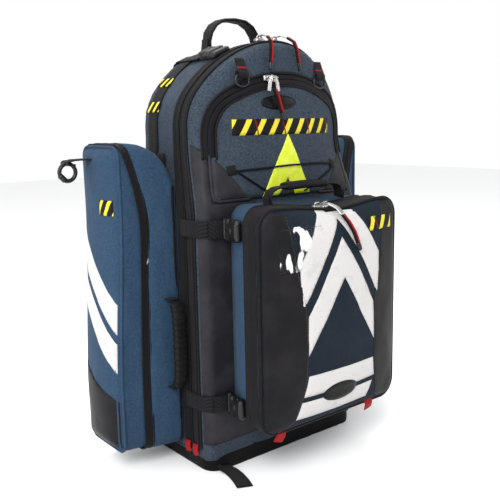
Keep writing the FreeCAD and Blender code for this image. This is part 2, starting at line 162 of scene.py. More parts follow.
class Finish:
    """A new material, its shader, and where on the object a point is: x, y and z in millimetres."""

    def __init__(self, name, roughness=0.7, **constants):
        self.material = bpy.data.materials.new(name)
        self.material.use_nodes = True
        tree = self.material.node_tree
        self.shader = next(n for n in tree.nodes if n.type == "BSDF_PRINCIPLED")
        self.shader.inputs["Roughness"].default_value = roughness
        self.shader.inputs["Specular IOR Level"].default_value = 0.08
        for key, value in constants.items():
            self.shader.inputs[key.replace("_", " ")].default_value = value
        self.tools = Wire(tree)
        spot = self.tools.node("TexCoord")
        scaled = self.tools.node("VectorMath", {"operation": "SCALE"}, {"Scale": 1 / MM})
        tree.links.new(spot.outputs["Object"], scaled.inputs[0])
        self.spot = Wire(tree, scaled.outputs["Vector"])
        parts = self.tools.node("SeparateXYZ", None, {"Vector": self.spot})
        self.x, self.y, self.z = (Wire(tree, out) for out in parts.outputs)

    def grain(self, size, detail=2.0, rough=0.5, stretch=None):
        """Soft noise, 0 to 1, whose lumps are about size millimetres across."""
        spot = self.spot
        if stretch:
            made = self.tools.node("VectorMath", {"operation": "MULTIPLY"}, {0: spot, 1: stretch})
            spot = Wire(spot.tree, made.outputs["Vector"])
        made = self.tools.node("TexNoise", None, {"Vector": spot, "Scale": 1 / size, "Detail": detail,
                                                  "Roughness": rough})
        return Wire(spot.tree, made.outputs[0])

    def blend(self, factor, low, high):
        """A colour between two, each a tuple or a wire."""
        made = self.tools.node("Mix", {"data_type": "RGBA"})
        for value, key in ((factor, "Factor"), (low, "A"), (high, "B")):
            socket = next(s for s in made.inputs if s.name == key and (key == "Factor" or s.type == "RGBA")
                          and s.enabled)
            if isinstance(value, Wire):
                self.tools.tree.links.new(value.socket, socket)
            else:
                socket.default_value = value if key == "Factor" else (*value, 1.0)
        return Wire(self.tools.tree, next(s for s in made.outputs if s.type == "RGBA"))

    def colour(self, wire):
        self.tools.tree.links.new(wire.socket, self.shader.inputs["Base Color"])

    def drive(self, key, wire):
        self.tools.tree.links.new(wire.socket, self.shader.inputs[key])

    def relief(self, height, depth, strength=1.0):
        """Height, 0 to 1, stands up by depth millimetres."""
        made = self.tools.node("Bump", None, {"Height": height, "Distance": depth * MM, "Strength": strength})
        self.tools.tree.links.new(made.outputs["Normal"], self.shader.inputs["Normal"])


def woven(name, shade, thread=1.6, contrast=0.45, roughness=0.78, **constants):
    """Plain-woven nylon: crossed threads whose crowns are painted lighter, a painted highlight, with painted
    shade between them; dusty where it is rubbed.
    """
    cloth = Finish(name, roughness, **constants)
    warp = ((cloth.x + cloth.y) * (2 * math.pi / thread)).wave()
    weft = ((cloth.z + cloth.y * 0.31) * (2 * math.pi / thread)).wave()
    cross = warp * weft
    speck = cloth.grain(thread * 1.3, 1.0)
    cloud = cloth.grain(60.0, 3.0)
    # The weave's crowns are painted lighter and its hollows darker. This is painted highlight and painted shade
    # on the threads, mixed with a random speck of grain.
    light = (cross * 0.25 + 0.5) * 0.5 + speck * 0.6
    painted_valley_shade = tuple(c * (1 - contrast) for c in linear(shade))
    painted_crown_glint = tuple(min(1.0, c * (1 + contrast) + 0.004) for c in linear(shade))
    thready = cloth.blend(light.step(0.25, 0.85), painted_valley_shade, painted_crown_glint)
    faded = tuple(min(1.0, c * 1.25 + 0.01) for c in linear(shade))
    cloth.colour(cloth.blend(cloud.step(0.5, 0.8) * 0.35, thready, faded))
    cloth.drive("Roughness", roughness - 0.1 + speck * 0.2)
    wrinkle = cloth.grain(24.0, 2.0, 0.5, (1.0, 1.0, 0.6))
    cloth.relief(light * 0.4 + wrinkle * 2.4, 1.0)
    return cloth.material


def coated(name, shade, roughness=0.42, **constants):
    """Coated tarpaulin: a fine pebble grain, a dull gleam and shallow rub marks."""
    skin = Finish(name, roughness, **constants)
    pebble = skin.grain(1.4, 2.0)
    rub = skin.grain(45.0, 4.0, 0.6)
    base = linear(shade)
    skin.colour(skin.blend(rub.step(0.35, 0.75), tuple(c * 0.75 for c in base), tuple(c * 1.35 for c in base)))
    skin.drive("Roughness", roughness - 0.1 + rub * 0.18 + pebble * 0.06)
    skin.relief(pebble * 0.7 + rub * 2.2, 0.3)
    return skin.material


# Pack body. The main compartment is a padded nylon tub, open at the front along the zip seam, sewn round a
# plastic frame sheet; two padded shelves split its inside, and the wearer's side is closed by a flat panel.

HALF_WIDTH, HEIGHT = 160.0, 645.0
SHOULDER_Z, SHOULDER_R, FLOOR_Z = 520.0, 90.0, 12.0
SEAM_Y, BACK_Y, RIM_Y = -55.0, 74.0, -80.0


def evenly(points, step, closed=True):
    """The same line, with its points a step apart."""
    line = list(points) + ([points[0]] if closed else [])
    run = [0.0]
    for a, b in zip(line, line[1:]):
        run.append(run[-1] + math.dist(a, b))
    count = max(2, round(run[-1] / step))
    spots = np.linspace(0, run[-1], count + 1)[:-1 if closed else None]
    return [tuple(np.interp(s, run, [p[k] for p in line]) for k in range(len(line[0]))) for s in spots]


def arc(centre, radius, start, stop, count=18):
    turns = np.linspace(math.radians(start), math.radians(stop), count)
    return [(centre[0] + radius * math.cos(t), centre[1] + radius * math.sin(t)) for t in turns]


def arched(half, foot, shoulder, top, radius, foot_r=18.0, step=5.0):
    """The outline of a bag panel: upright sides, round shoulders and a crowned top, all tangent."""
    across = half - radius
    rise = top - shoulder - radius
    reach = (rise * rise + across * across) / (2 * rise)
    turned = math.degrees(math.acos(across / reach))
    crown = reach + radius
    line = [(0, foot)] + arc((half - foot_r, foot + foot_r), foot_r, -90, 0, 8)
    line += arc((across, shoulder), radius, 0, turned)
    line += arc((0, top - crown), crown, turned, 90)[1:]
    line += [(-x, z) for x, z in line[-2:0:-1]]
    return evenly(line, step)


def body_arch(inset=0.0, step=5.0):
    return arched(HALF_WIDTH - inset, FLOOR_Z + inset, SHOULDER_Z, HEIGHT - inset, SHOULDER_R - inset,
                  step=step)


def round_box(x0, x1, z0, z1, radius, step=5.0):
    line = arc((x1 - radius, z0 + radius), radius, -90, 0, 7) + arc((x1 - radius, z1 - radius), radius, 0, 90,
                                                                    7)
    line += arc((x0 + radius, z1 - radius), radius, 90, 180, 7)
    line += arc((x0 + radius, z0 + radius), radius, 180, 270, 7)
    return evenly(line, step)


def crease(spot, size, depth, seed=0.0):
    """A soft rise and fall of a cloth surface: lumps of about size, up to depth high either way."""
    x, y, z = spot
    return depth * noise.fractal(Vector((x / size + seed, y / size - seed, z / size)), 0.9, 2.1, 3)


def swell(d, reach):
    """0 at an edge, 1 at reach from it and beyond, with a round shoulder."""
    t = min(1.0, max(0.0, d / reach))
    return math.sqrt(1 - (1 - t) ** 2)


def ease(d, reach):
    t = min(1.0, max(0.0, d / reach))
    return t * t * (3 - 2 * t)


def edge_gap(points, outline):
    """How far each point is from a closed outline."""
    p = np.asarray(points, float)[:, None, :]
    a = np.asarray(outline, float)
    b = np.roll(a, -1, axis=0)
    run = b - a
    t = np.clip(((p - a) * run).sum(-1) / np.maximum((run * run).sum(-1), 1e-9), 0, 1)
    return np.sqrt(((p - a - t[..., None] * run) ** 2).sum(-1)).min(1)


def inside(point, outline):
    u, v = point
    odd = False
    for (a, b), (c, d) in zip(outline, outline[1:] + outline[:1]):
        if (b > v) != (d > v) and u < (c - a) * (v - b) / (d - b) + a:
            odd = not odd
    return odd


TAPER_FOOT_Z, TAPER_RISE, TAPER = 390, 120, 0.075
FALL_BACK, FALL_FROM_Y, FALL_DEPTH, FALL_HALF = 30, 30, 110, 150


def settle(spot):
    """Where a point of the pack's pattern lies once it is filled: the top draws in and its sides fall back."""
    x, y, z = spot
    up = ease(z - TAPER_FOOT_Z, TAPER_RISE)
    front = ease(FALL_FROM_Y - y, FALL_DEPTH)
    x *= 1 - TAPER * up
    return Vector((x, y + FALL_BACK * (x / FALL_HALF) ** 2 * up * front, z))


def new_piece(name, bm, smooth=True):
    """A mesh object from a build in millimetres, its faces turned outward."""
    bmesh.ops.recalc_face_normals(bm, faces=bm.faces)
    for vert in bm.verts:
        vert.co *= MM
    mesh = bpy.data.meshes.new(name)
    bm.to_mesh(mesh)
    bm.free()
    mesh.shade_smooth() if smooth else mesh.shade_flat()
    piece = bpy.data.objects.new(name, mesh)
    bpy.context.collection.objects.link(piece)
    return piece


def panel(name, outline, place, rims=(), cell=6.5):
    """A cloth face cut to a closed outline, gridded so that it can swell and crease. place(u, v, edge) puts
    its points; each of rims(u, v, nu, nv), from the edge outward, adds a row of the wall sewn round it."""
    bm = bmesh.new()
    bm.faces.new([bm.verts.new((u, 0, v)) for u, v in outline])
    for axis in (0, 2):
        spread = [p[axis // 2] for p in outline]
        low, high = min(spread), max(spread)
        count = max(1, round((high - low) / cell))
        for k in range(1, count):
            spot, way = [0, 0, 0], [0, 0, 0]
            spot[axis], way[axis] = low + (high - low) * k / count, 1
            bmesh.ops.bisect_plane(bm, geom=bm.verts[:] + bm.edges[:] + bm.faces[:], dist=0.02,
                                   plane_co=spot, plane_no=way)
    bm.verts.ensure_lookup_table()
    flat = [(v.co.x, v.co.z) for v in bm.verts]
    gaps = edge_gap(flat, outline)
    edge = [e for e in bm.edges if len(e.link_faces) == 1]
    beside = {}
    for e in edge:
        a, b = e.verts
        beside.setdefault(a, []).append(b)
        beside.setdefault(b, []).append(a)
    first = edge[0].verts[0]
    loop = [first, beside[first][0]]
    while True:
        after = [v for v in beside[loop[-1]] if v is not loop[-2]]
        if not after or after[0] is first:
            break
        loop.append(after[0])
    ring = [(v.co.x, v.co.z) for v in loop]
    area = sum(a[0] * b[1] - b[0] * a[1] for a, b in zip(ring, ring[1:] + ring[:1]))
    sign = 1 if area > 0 else -1
    out = []
    for k, (u, v) in enumerate(ring):
        (a, b), (c, d) = ring[k - 1], ring[(k + 1) % len(ring)]
        long = math.dist((a, b), (c, d)) or 1.0
        out.append((sign * (d - b) / long, -sign * (c - a) / long))
    last = loop
    for rim in rims:
        row = [bm.verts.new(rim(u, v, nu, nv)) for (u, v), (nu, nv) in zip(ring, out)]
        for k in range(len(row)):
            n = (k + 1) % len(row)
            bm.faces.new((last[k], last[n], row[n], row[k]))
        last = row
    for vert, (u, v), gap in zip(list(bm.verts)[:len(flat)], flat, gaps):
        vert.co = place(u, v, gap)
    return new_piece(name, bm)


def thicken(piece, thickness):
    """Give a cloth face its thickness, inward."""
    walls = piece.modifiers.new("cloth_thickness", "SOLIDIFY")
    walls.thickness = thickness * MM
    walls.offset = -1
    walls.use_rim = True
    return piece


def dress(piece, material, slot, body=None, *stands_for):
    """Give a piece its finish, the body it moves with, and the model parts that it stands for. The slot
    argument is not used.
    """
    piece.data.materials.clear()
    piece.data.materials.append(material)
    if body:
        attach(piece, body)
    if stands_for:
        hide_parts(*stands_for)
    return piece


navy = woven("navy_nylon", (72, 86, 102), thread=2.3, contrast=0.55, Sheen_Weight=0.03, Sheen_Roughness=0.5)
side_navy = woven("side_nylon", (72, 85, 103), thread=2.2, Sheen_Weight=0.03)
lining = woven("lining_nylon", (70, 84, 104), thread=1.2, contrast=0.2)


def tub_face(x, z, d):
    return settle((x, BACK_Y - 8 * (1 - swell(d, 8)) + crease((x, 0, z), 60, 1.0), z))


def tub_wall(y):
    def put(x, z, nx, nz):
        out = -0.8 + crease((x, y, z), 45, 0.8)
        return settle((x + nx * out, y, z + nz * out))
    return put


WALL = 5.0
tub = panel("pack_body_shell", body_arch(), tub_face, [tub_wall(y) for y in np.linspace(62, SEAM_Y, 15)])
thicken(tub, WALL)
dress(tub, side_navy, "navy_fabric", "pack", "main_tub")


def padded_board(name, x0, x1, y0, y1, z0, z1, radius=8.0, cell=9.0):
    """A flat cushion lying level: rounded edges, and faces a little fuller in the middle."""
    middle, half = (z0 + z1) / 2, (z1 - z0) / 2

    def top(x, y, d):
        return x, y, middle + half * (0.25 + 0.75 * swell(d, 5)) + crease((x, y, z0), 40, 0.3)

    def wall(level):
        def put(x, y, nx, ny):
            return x + nx * 0.8, y + ny * 0.8, middle + half * level
        return put

    def under(x, y, nx, ny):
        return x - nx * 3, y - ny * 3, z0
    return panel(name, round_box(x0, x1, y0, y1, radius), top, [wall(0), wall(-0.4), under], cell)


SHELF_HALF, SHELF_FRONT_Y, SHELF_BACK_Y, SHELF_THICK, SHELF_COVER = 153.0, -42.0, 64.0, 6.0, 1.2
for number, z in enumerate((226.0, 420.0)):
    shelf = padded_board(f"inner_shelf_{number + 1}", -SHELF_HALF, SHELF_HALF, SHELF_FRONT_Y, SHELF_BACK_Y,
                         z, z + SHELF_THICK)
    thicken(shelf, SHELF_COVER)
    dress(shelf, lining, "padded_mesh", "pack")
    if number == 0:
        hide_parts("inner_shelves")


# Base boot and skid strap. The pack stands in a shallow tray of coated tarpaulin sewn over the base seam;
# a webbing tail from the bottom straps lies out on the floor at the left.

coated_cloth = coated("coated_tarpaulin", (42, 40, 43))
# A lighter copy of the same coated tarpaulin for the lid's wings and the flap's corners: painted light, where
# the studio light falls on them.
coated_painted_lit_cloth = coated("coated_tarpaulin_painted_lit", (66, 64, 70))
# A darker copy of the same coated tarpaulin for the base boot: painted shade, low by the floor.
coated_painted_shade_cloth = coated("coated_base_painted_shade", (22, 21, 22), 0.5)


def boot_floor(x, y, d):
    return x, y, 0.4 + 0.6 * ease(d, 20) + abs(crease((x, y, 0), 50, 0.6))


def boot_wall(level, out):
    def put(x, y, nx, ny):
        lump = crease((x, y, level), 35, 0.8)
        return x + nx * (out + lump), y + ny * (out + lump), level
    return put


boot = panel("base_boot_tray", round_box(-155, 155, -95, 77, 24), boot_floor,
             [boot_wall(2.5, 0.6), boot_wall(7, 1.0), boot_wall(13, 0.8), boot_wall(26, 0.2),
              boot_wall(40, -1.5)],
             cell=12)
thicken(boot, 1.6)
dress(boot, coated_painted_shade_cloth, "coated_black", "pack", "base_boot")

webbing_finish = Finish("black_webbing", 0.62, Sheen_Weight=0.03)
rib = ((webbing_finish.x + webbing_finish.y + webbing_finish.z * 0.55) * (2 * math.pi / 3.2)).wave() * 0.5 + 0.5
fuzz = webbing_finish.grain(1.5, 2.0)
webbing_finish.colour(webbing_finish.blend(rib * 0.6 + fuzz * 0.4, linear((15, 14, 16)), linear((50, 48, 52))))
webbing_finish.drive("Roughness", fuzz * 0.25 + 0.5)
webbing_finish.relief(rib, 0.5)
webbing = webbing_finish.material


def frames(spine, normals, looped=False):
    """At each point of a line: its way along, its normal squared up to that, and the way across."""
    spine = [Vector(p) for p in spine]
    last = len(spine) - 1
    out = []
    for k, p in enumerate(spine):
        after = spine[(k + 1) % len(spine)] if looped else spine[min(k + 1, last)]
        before = spine[k - 1] if looped else spine[max(k - 1, 0)]
        along = (after - before).normalized()
        n = Vector(normals[k] if isinstance(normals, list) else normals(k, p, along))
        n = (n - along * n.dot(along)).normalized()
        out.append((p, n, along.cross(n)))
    return out


def loft(name, spine, normals, section, looped=False, vary=None, smooth=True):
    """A strip or bar drawn along a line. section is a closed list of (across, up); vary(k, share) may give
    the section's (width, height) scale at each point."""
    bm = bmesh.new()
    rows = []
    places = frames(spine, normals, looped)
    for k, (p, n, w) in enumerate(places):
        sa, sb = vary(k, k / (len(places) - 1)) if vary else (1, 1)
        rows.append([bm.verts.new(p + w * (a * sa) + n * (b * sb)) for a, b in section])
    pairs = list(zip(rows, rows[1:])) + ([(rows[-1], rows[0])] if looped else [])
    for one, two in pairs:
        for k in range(len(section)):
            j = (k + 1) % len(section)
            bm.faces.new((one[k], one[j], two[j], two[k]))
    if not looped:
        bm.faces.new(rows[0])
        bm.faces.new(rows[-1][::-1])
    return new_piece(name, bm, smooth)


def strap_section(width, thick):
    """Flat webbing with round selvedges, lying on its line."""
    w, t = width / 2, thick
    return [(-w + t * 0.4, 0), (-w * 0.5, 0), (0, 0), (w * 0.5, 0), (w - t * 0.4, 0), (w, t * 0.35),
            (w, t * 0.65),
            (w - t * 0.4, t), (w * 0.5, t), (0, t), (-w * 0.5, t), (-w + t * 0.4, t), (-w, t * 0.65),
            (-w, t * 0.35)]


def ring_section(radius, count=8):
    return [(radius * math.cos(2 * math.pi * k / count), radius * math.sin(2 * math.pi * k / count))
            for k in range(count)]


def join_pieces(name, pieces):
    """Make several pieces one mesh, to be given its finish after."""
    whole = bmesh.new()
    for piece in pieces:
        whole.from_mesh(piece.data)
        bpy.data.meshes.remove(piece.data)
    mesh = bpy.data.meshes.new(name)
    whole.to_mesh(mesh)
    whole.free()
    mesh.shade_smooth()
    joined = bpy.data.objects.new(name, mesh)
    bpy.context.collection.objects.link(joined)
    return joined


WEBBING = 25
tail = evenly([(-132, -92, 9), (-131, -99, 3), (-128, -108, 1.2), (-130, -124, 0.8), (-135, -142, 0.9),
               (-142, -160, 1.0)], 4, closed=False)
skid = loft("base_strap_tail", tail, lambda k, p, way: (0.05, 0.0, 1.0), strap_section(WEBBING, 1.8))
dress(skid, webbing, "black_webbing", "pack", "base_strap")


# Main zip. A coil zip on wide black tape runs up one side of the seam, over the crown and down the other:
# one tape is sewn to the lid's rim and one to the tub, each with a piped edge along the fabric.

tape_finish = Finish("zip_tape_cloth", 0.6, Sheen_Weight=0.02)
twill = ((tape_finish.x + tape_finish.y * 1.7 + tape_finish.z) * (2 * math.pi / 2.4)).wave() * 0.5 + 0.5
dust = tape_finish.grain(30.0, 3.0)
tape_finish.colour(tape_finish.blend(dust * 0.6 + twill * 0.3, linear((18, 17, 19)), linear((52, 49, 54))))
tape_finish.drive("Roughness", dust * 0.25 + 0.48)
tape_finish.relief(twill, 0.3)
zip_cloth = tape_finish.material

piping_finish = Finish("piping_cloth", 0.45)
sheen = piping_finish.grain(5.0, 2.0)
piping_finish.colour(piping_finish.blend(sheen, linear((18, 17, 19)), linear((46, 44, 48))))
piping_finish.relief(sheen, 0.2)
piping = piping_finish.material

FOOT = 34.0


def open_arch(inset):
    """The body's outline without its base, from the left foot over the crown to the right foot."""
    line = [p for p in body_arch(inset, 4.0) if p[1] > FOOT]
    start = next(k for k in range(len(line)) if math.dist(line[k], line[k - 1]) > 20)
    return line[start:] + line[:start]


def round_the_body(name, y, inset, section):
    """A strip that follows the body's outline at depth y, its section's first axis lying along Y."""
    line = open_arch(inset)
    if line[0][0] > 0:
        line = line[::-1]
    spine = [settle((x, y, z)) for x, z in line]

    return loft(name, spine, lambda k, p, along: along.cross(Vector((0, 1, 0))), section)


def tape_section(width, rise, thick=1.2):
    """Zip tape: flat at its sewn edge, rolled up over the coil at its other edge."""
    w = width / 2
    return [(w, 0.0), (w, thick + rise), (w * 0.75, thick + rise * 1.05), (w * 0.45, thick + rise * 0.45),
            (0, thick), (-w, thick), (-w, -0.8)]


LID_BAND, BODY_BAND, BAND_RISE = 19.0, 16.0, 1.6
lid_tape = round_the_body("lid_zip_band", -65.5, 0.2, tape_section(LID_BAND, BAND_RISE))
tub_tape = round_the_body("body_zip_band", -46.5, 0.2, [(-a, b) for a,
                                                        b in tape_section(BODY_BAND, BAND_RISE)][::-1])
lid_pipe = round_the_body("lid_piping", -78.5, -1.0, ring_section(2.3))
tub_pipe = round_the_body("body_piping", -37.5, -0.4, ring_section(1.9))
coil = []
for side, y in ((-1, -57.2), (1, -53.4)):
    coil.append(round_the_body("coil", y, -1.6, ring_section(1.5, 6)))
dress(lid_tape, zip_cloth, "zip_tape", "main_lid", "lid_zip_tape")
dress(tub_tape, zip_cloth, "zip_tape", "pack", "main_zip_tape")
coil_finish = Finish("zip_coil", 0.35)
tooth = ((coil_finish.x + coil_finish.z) * (2 * math.pi / 2.6)).wave() * 0.5 + 0.5
coil_finish.colour(coil_finish.blend(tooth, linear((18, 17, 18)), linear((52, 50, 52))))
coil_finish.relief(tooth, 0.6)
zip_coil = coil_finish.material
coil[0].name, coil[1].name = "lid_zip_coil", "body_zip_coil"
dress(coil[0], zip_coil, "zip_tape", "main_lid")
dress(coil[1], zip_coil, "zip_tape", "pack")
dress(lid_pipe, piping, "black_webbing", "main_lid")
dress(tub_pipe, piping, "black_webbing", "pack")


# Front lid. A padded nylon face on a rim that carries the zip; its upper middle is a pocket, closed by the
# flap that follows, and its lower sides are faced with coated tarpaulin.

POCKET = arched(130, 426, 505, 577, 50, foot_r=8)
FLAP_HALF, FLAP_FOOT, FLAP_SHOULDER, FLAP_TOP, FLAP_R, FLAP_ZIP_FOOT = 140, 414, 510, 589, 60, 474
FLAP = arched(FLAP_HALF, FLAP_FOOT, FLAP_SHOULDER, FLAP_TOP, FLAP_R, foot_r=6)


def lid_depth(x, z, d):
    y = RIM_Y - 16 * swell(d, 15) + 0.9 * abs(crease((x, 0, z), 50, 1.0))
    if abs(x) < 131 and 425 < z < 578 and inside((x, z), POCKET):
        y += 11 * ease(edge_gap([(x, z)], POCKET)[0], 9)
    return y


def lid_wall(y):
    def put(x, z, nx, nz):
        return settle((x - nx * 0.3, y, z - nz * 0.3))
    return put


lid = panel("front_lid_shell", body_arch(), lambda x, z, d: settle((x, lid_depth(x, z, d), z)),
            [lid_wall(y) for y in (-76, -72, -67, -62, -55.3)])
thicken(lid, WALL)
dress(lid, navy, "navy_fabric", "main_lid", "lid_shell")


def skin_of(*pieces):
    """The pieces' surface as it is shown, in millimetres, to lay trims on."""
    graph = bpy.context.evaluated_depsgraph_get()
    graph.update()
    verts, faces = [], []
    for piece in pieces:
        seen = piece.evaluated_get(graph)
        mesh = seen.to_mesh()
        base = len(verts)
        verts += [tuple(v.co / MM) for v in mesh.vertices]
        faces += [tuple(base + i for i in f.vertices) for f in mesh.polygons]
        seen.to_mesh_clear()
    return BVHTree.FromPolygons(verts, faces)


SIGHT = 400


def toward(tree, start, way):
    """Where a sight line meets a surface, or None."""
    return tree.ray_cast(Vector(start), Vector(way).normalized(), SIGHT)[0]


FRONT = dict(start=lambda u, v: (u, -300, v), way=(0, 1, 0))


def patch(name, outline, tree, thick=0.8, cell=5.0, view=FRONT, lift=0.0):
    """A flat cut-out laid on a surface along a sight line: it follows the surface and stands up by thick."""
    way = Vector(view["way"])

    def drop(u, v):
        hit = toward(tree, view["start"](u, v), way)
        if hit is None:
            near = tree.find_nearest(Vector(view["start"](u, v)) + way * 180)[0]
            flat = Vector(view["start"](u, v))
            hit = flat - way * (flat - near).dot(way)
        return hit

    def face(u, v, d):
        return drop(u, v) - way * (lift + thick * (0.35 + 0.65 * swell(d, thick * 1.2)))

    def edge(u, v, nu, nv):
        return drop(u, v) + way * 0.6
    return panel(name, outline, face, [edge], cell)


lid_skin = skin_of(lid)
LEFT_WING = [(-158.5, 46), (-60, 46), (-60, 412), (-139.5, 412), (-141, 477), (-158.5, 496)]
wings = []
for sign, word in ((-1, "left"), (1, "right")):
    line = [(settle((-sign * x, 0, z)).x, z) for x, z in evenly(LEFT_WING, 6)]
    wing = patch(f"{word}_coated_wing", line, lid_skin, 0.9, 4.5, lift=1.3)
    wings.append(wing)
wing_pair = join_pieces("coated_wing_pair", wings)
dress(wing_pair, coated_painted_lit_cloth, "coated_black", "main_lid", "coated_wings")


# Upper pocket flap. A crowned nylon panel hinged along its foot, with a coil zip on wide tape round its
# sides and top; its lower corners are faced like the wings beside them.

def flap_depth(x, z, d):
    dome = 3.0 * ease(d, 60)
    dent = crease((x * 0.7, 0, z), 55, 1.8) * ease(d, 25)
    return -98.0 - 4.0 * swell(d, 9) - dome + dent


flap = panel("pocket_flap", FLAP, lambda x, z, d: settle((x, flap_depth(x, z, d), z)),
             [lambda x, z, nx, nz: settle((x, -97.2, z)), lambda x, z, nx,
              nz: settle((x - nx * 2, -96.6, z - nz * 2))],
             cell=5.0)
thicken(flap, 1.8)
dress(flap, navy, "navy_fabric", "upper_flap", "flap_shell")


def round_the_flap(name, y, inset, section, tilt=0.0):
    """A strip along the flap's outline, from its zip's foot on one side to the other."""
    edge = arched(FLAP_HALF - inset, FLAP_FOOT, FLAP_SHOULDER, FLAP_TOP - inset, FLAP_R - inset, foot_r=6,
                  step=4.0)
    line = [p for p in edge if p[1] > FLAP_ZIP_FOOT]
    start = next(k for k in range(len(line)) if math.dist(line[k], line[k - 1]) > 20)
    line = line[start:] + line[:start]
    if line[0][0] > 0:
        line = line[::-1]

    def forward(k, p, along):
        return Vector((0, -1, 0)) + along.cross(Vector((0, 1, 0))) * tilt
    return loft(name, [settle((x, y, z)) for x, z in line], forward, section)


flap_parts = [("flap_zip_band", -97.4, -4.9, tape_section(9.0, 1.2), 0.25, "main_lid", zip_cloth, "zip_tape"),
              ("flap_inner_band", -100.6, 4.6, [(-a, b) for a, b in tape_section(8.0, 1.2)][::-1], 0.45,
               "upper_flap", zip_cloth, "zip_tape"),
              ("flap_outer_piping", -98.2, -9.8, ring_section(1.9), 0, "main_lid", piping, "black_webbing"),
              ("flap_inner_piping", -103.0, 9.4, ring_section(1.7), 0, "upper_flap", piping, "black_webbing"),
              ("flap_zip_coil_lid", -98.8, -1.8, ring_section(1.4, 6), 0, "main_lid", zip_coil, "zip_tape"),
              ("flap_zip_coil_flap", -99.2, 1.6, ring_section(1.4, 6), 0, "upper_flap", zip_coil, "zip_tape")]
for name, y, inset, section, tilt, body, finish, slot in flap_parts:
    dress(round_the_flap(name, y, inset, section, tilt), finish, slot, body)

flap_skin = skin_of(flap)
corners = []
for sign in (-1, 1):
    line = [(settle((sign * x, 0, z)).x, z) for x, z in ((139, 415), (139, 480), (118, 459), (97, 437),
                                                         (76, 415))]
    corners.append(patch("corner", line, flap_skin, 0.9, 6.0))
    edge_line = [(139.6, 482), (139.6, 426), (137, 418), (131, 414.6), (72, 414.2)]
    spine = evenly([tuple(settle((sign * x, -98.6, z))) for x, z in edge_line], 4, closed=False)
    corners.append(loft("corner_edge", spine, lambda k, p, way: (0, -1, 0), ring_section(2.6)))
corner_pair = join_pieces("flap_coated_corners", corners)
dress(corner_pair, coated_painted_lit_cloth, "coated_black", "upper_flap")


# Warning tape, fluorescent chevron and bungee on the flap. The tape is black webbing printed with leaning
# yellow bars and tacked down with red thread; the bungee runs through two webbing loops.

tape = Finish("striped_tape", 0.5)
lean = ((tape.x - tape.z * 0.55) / 25.0 + 0.08).fraction()
bar = (lean.math("COMPARE", lean, 0.62, 0.19))
tack = ((tape.x + tape.z * 0.25) / 50.0 + 0.06).fraction()
tack = tack.math("COMPARE", tack, 0.5, 0.022)
weave = tape.grain(1.6, 2.0)
ground = tape.blend(weave, linear((24, 22, 24)), linear((46, 42, 46)))
yellow = tape.blend(weave, linear((236, 214, 30), 1.7), linear((255, 246, 80), 1.7))
tape.colour(tape.blend(tack, tape.blend(bar, ground, yellow), linear((170, 26, 34))))
tape.relief(weave * 0.5 + bar * 0.8, 0.3)
striped = tape.material

stripe = patch("flap_warning_tape", [(-97, 508), (97, 508), (97, 531), (-97, 531)], flap_skin, 1.1, 5.0)
dress(stripe, striped, "black_webbing", "upper_flap", "flap_stripe_tape")

# The chevron's cloth also gives off light of its own through emission: a painted glow.
glow = Finish("fluorescent_cloth", 0.38, Coat_Weight=0.25, Emission_Strength=0.22)
scuff = glow.grain(9.0, 4.0, 0.65)
prism = ((glow.x + glow.z) * (2 * math.pi / 3.0)).wave() * ((glow.x - glow.z) * (2 * math.pi / 3.0)).wave()
lime = glow.blend(scuff.step(0.3, 0.8), linear((222, 242, 22), 1.7), linear((250, 255, 120), 1.7))
glow.colour(lime)
glow.shader.inputs["Emission Color"].default_value = (*linear((226, 246, 20), 1.7), 1.0)
glow.relief(prism * 0.3 + scuff * 1.4, 0.5)
fluorescent = glow.material

CHEVRON = [(0, 509), (49, 416), (17, 416), (0, 442), (-17, 416), (-49, 416)]
mark = patch("fluorescent_chevron", CHEVRON, flap_skin, 1.0, 4.0)
dress(mark, fluorescent, "hi_vis_yellow", "upper_flap", "hi_vis_chevron")

cord_finish = Finish("elastic_cover", 0.55)
braid = (cord_finish.x + cord_finish.z * 0.8) * (2 * math.pi / 2.0)
speckle = cord_finish.grain(0.9, 1.0)
cord_finish.colour(cord_finish.blend(speckle, linear((14, 13, 14)), linear((40, 38, 40))))
cord_finish.relief(braid.wave() * 0.5 + 0.5, 0.4)
elastic = cord_finish.material

decked = skin_of(flap, stripe, mark)
ROUTE = [(-34, 419), (-98, 457), (-60, 458), (0, 461), (60, 461), (99, 459), (98, 450), (34, 419)]


def over(tree, x, z, lift):
    hit = toward(tree, (x, -300, z), (0, 1, 0))
    return (x, (hit.y if hit else -100) - lift, z)


line = evenly(ROUTE, 5, closed=False)
bungee = loft("bungee", [over(decked, x, z, 1.8) for x, z in line], lambda k, p, way: (0, -1, 0),
              ring_section(1.5))
dress(bungee, elastic, "elastic_cord", "upper_flap", "bungee_cord")
loops = []
for sign in (-1, 1):
    line = [(sign * x, z) for x, z in ((96, 452), (110, 450), (111, 464), (97, 466))]
    loops.append(patch("loop", line, decked, 2.6, 4.0))
loop_pair = join_pieces("bungee_webbing_loops", loops)
dress(loop_pair, webbing, "black_webbing", "upper_flap", "bungee_tabs")
badge_finish = Finish("plain_badge", 0.35, Coat_Weight=0.1)
sweep = badge_finish.grain(14.0, 3.0)
badge_finish.colour(badge_finish.blend(sweep, linear((12, 12, 14)), linear((34, 35, 38))))
badge_finish.relief(sweep, 0.3)
badge_rubber = badge_finish.material
oval = [(-16 + 33 * math.cos(t), 555 + 10.5 * math.sin(t)) for t in np.linspace(0, 2 * math.pi, 29)[:-1]]
badge = patch("flap_badge", oval, flap_skin, 1.8, 5.0)
dress(badge, badge_rubber, "black_plastic", "upper_flap")


# Front pouch. A nylon box with flared walls whose deep front opens on a coil zip: the back half stays on
# the pack, the front half hinges down at its foot. The top edge sags a little between its corners.

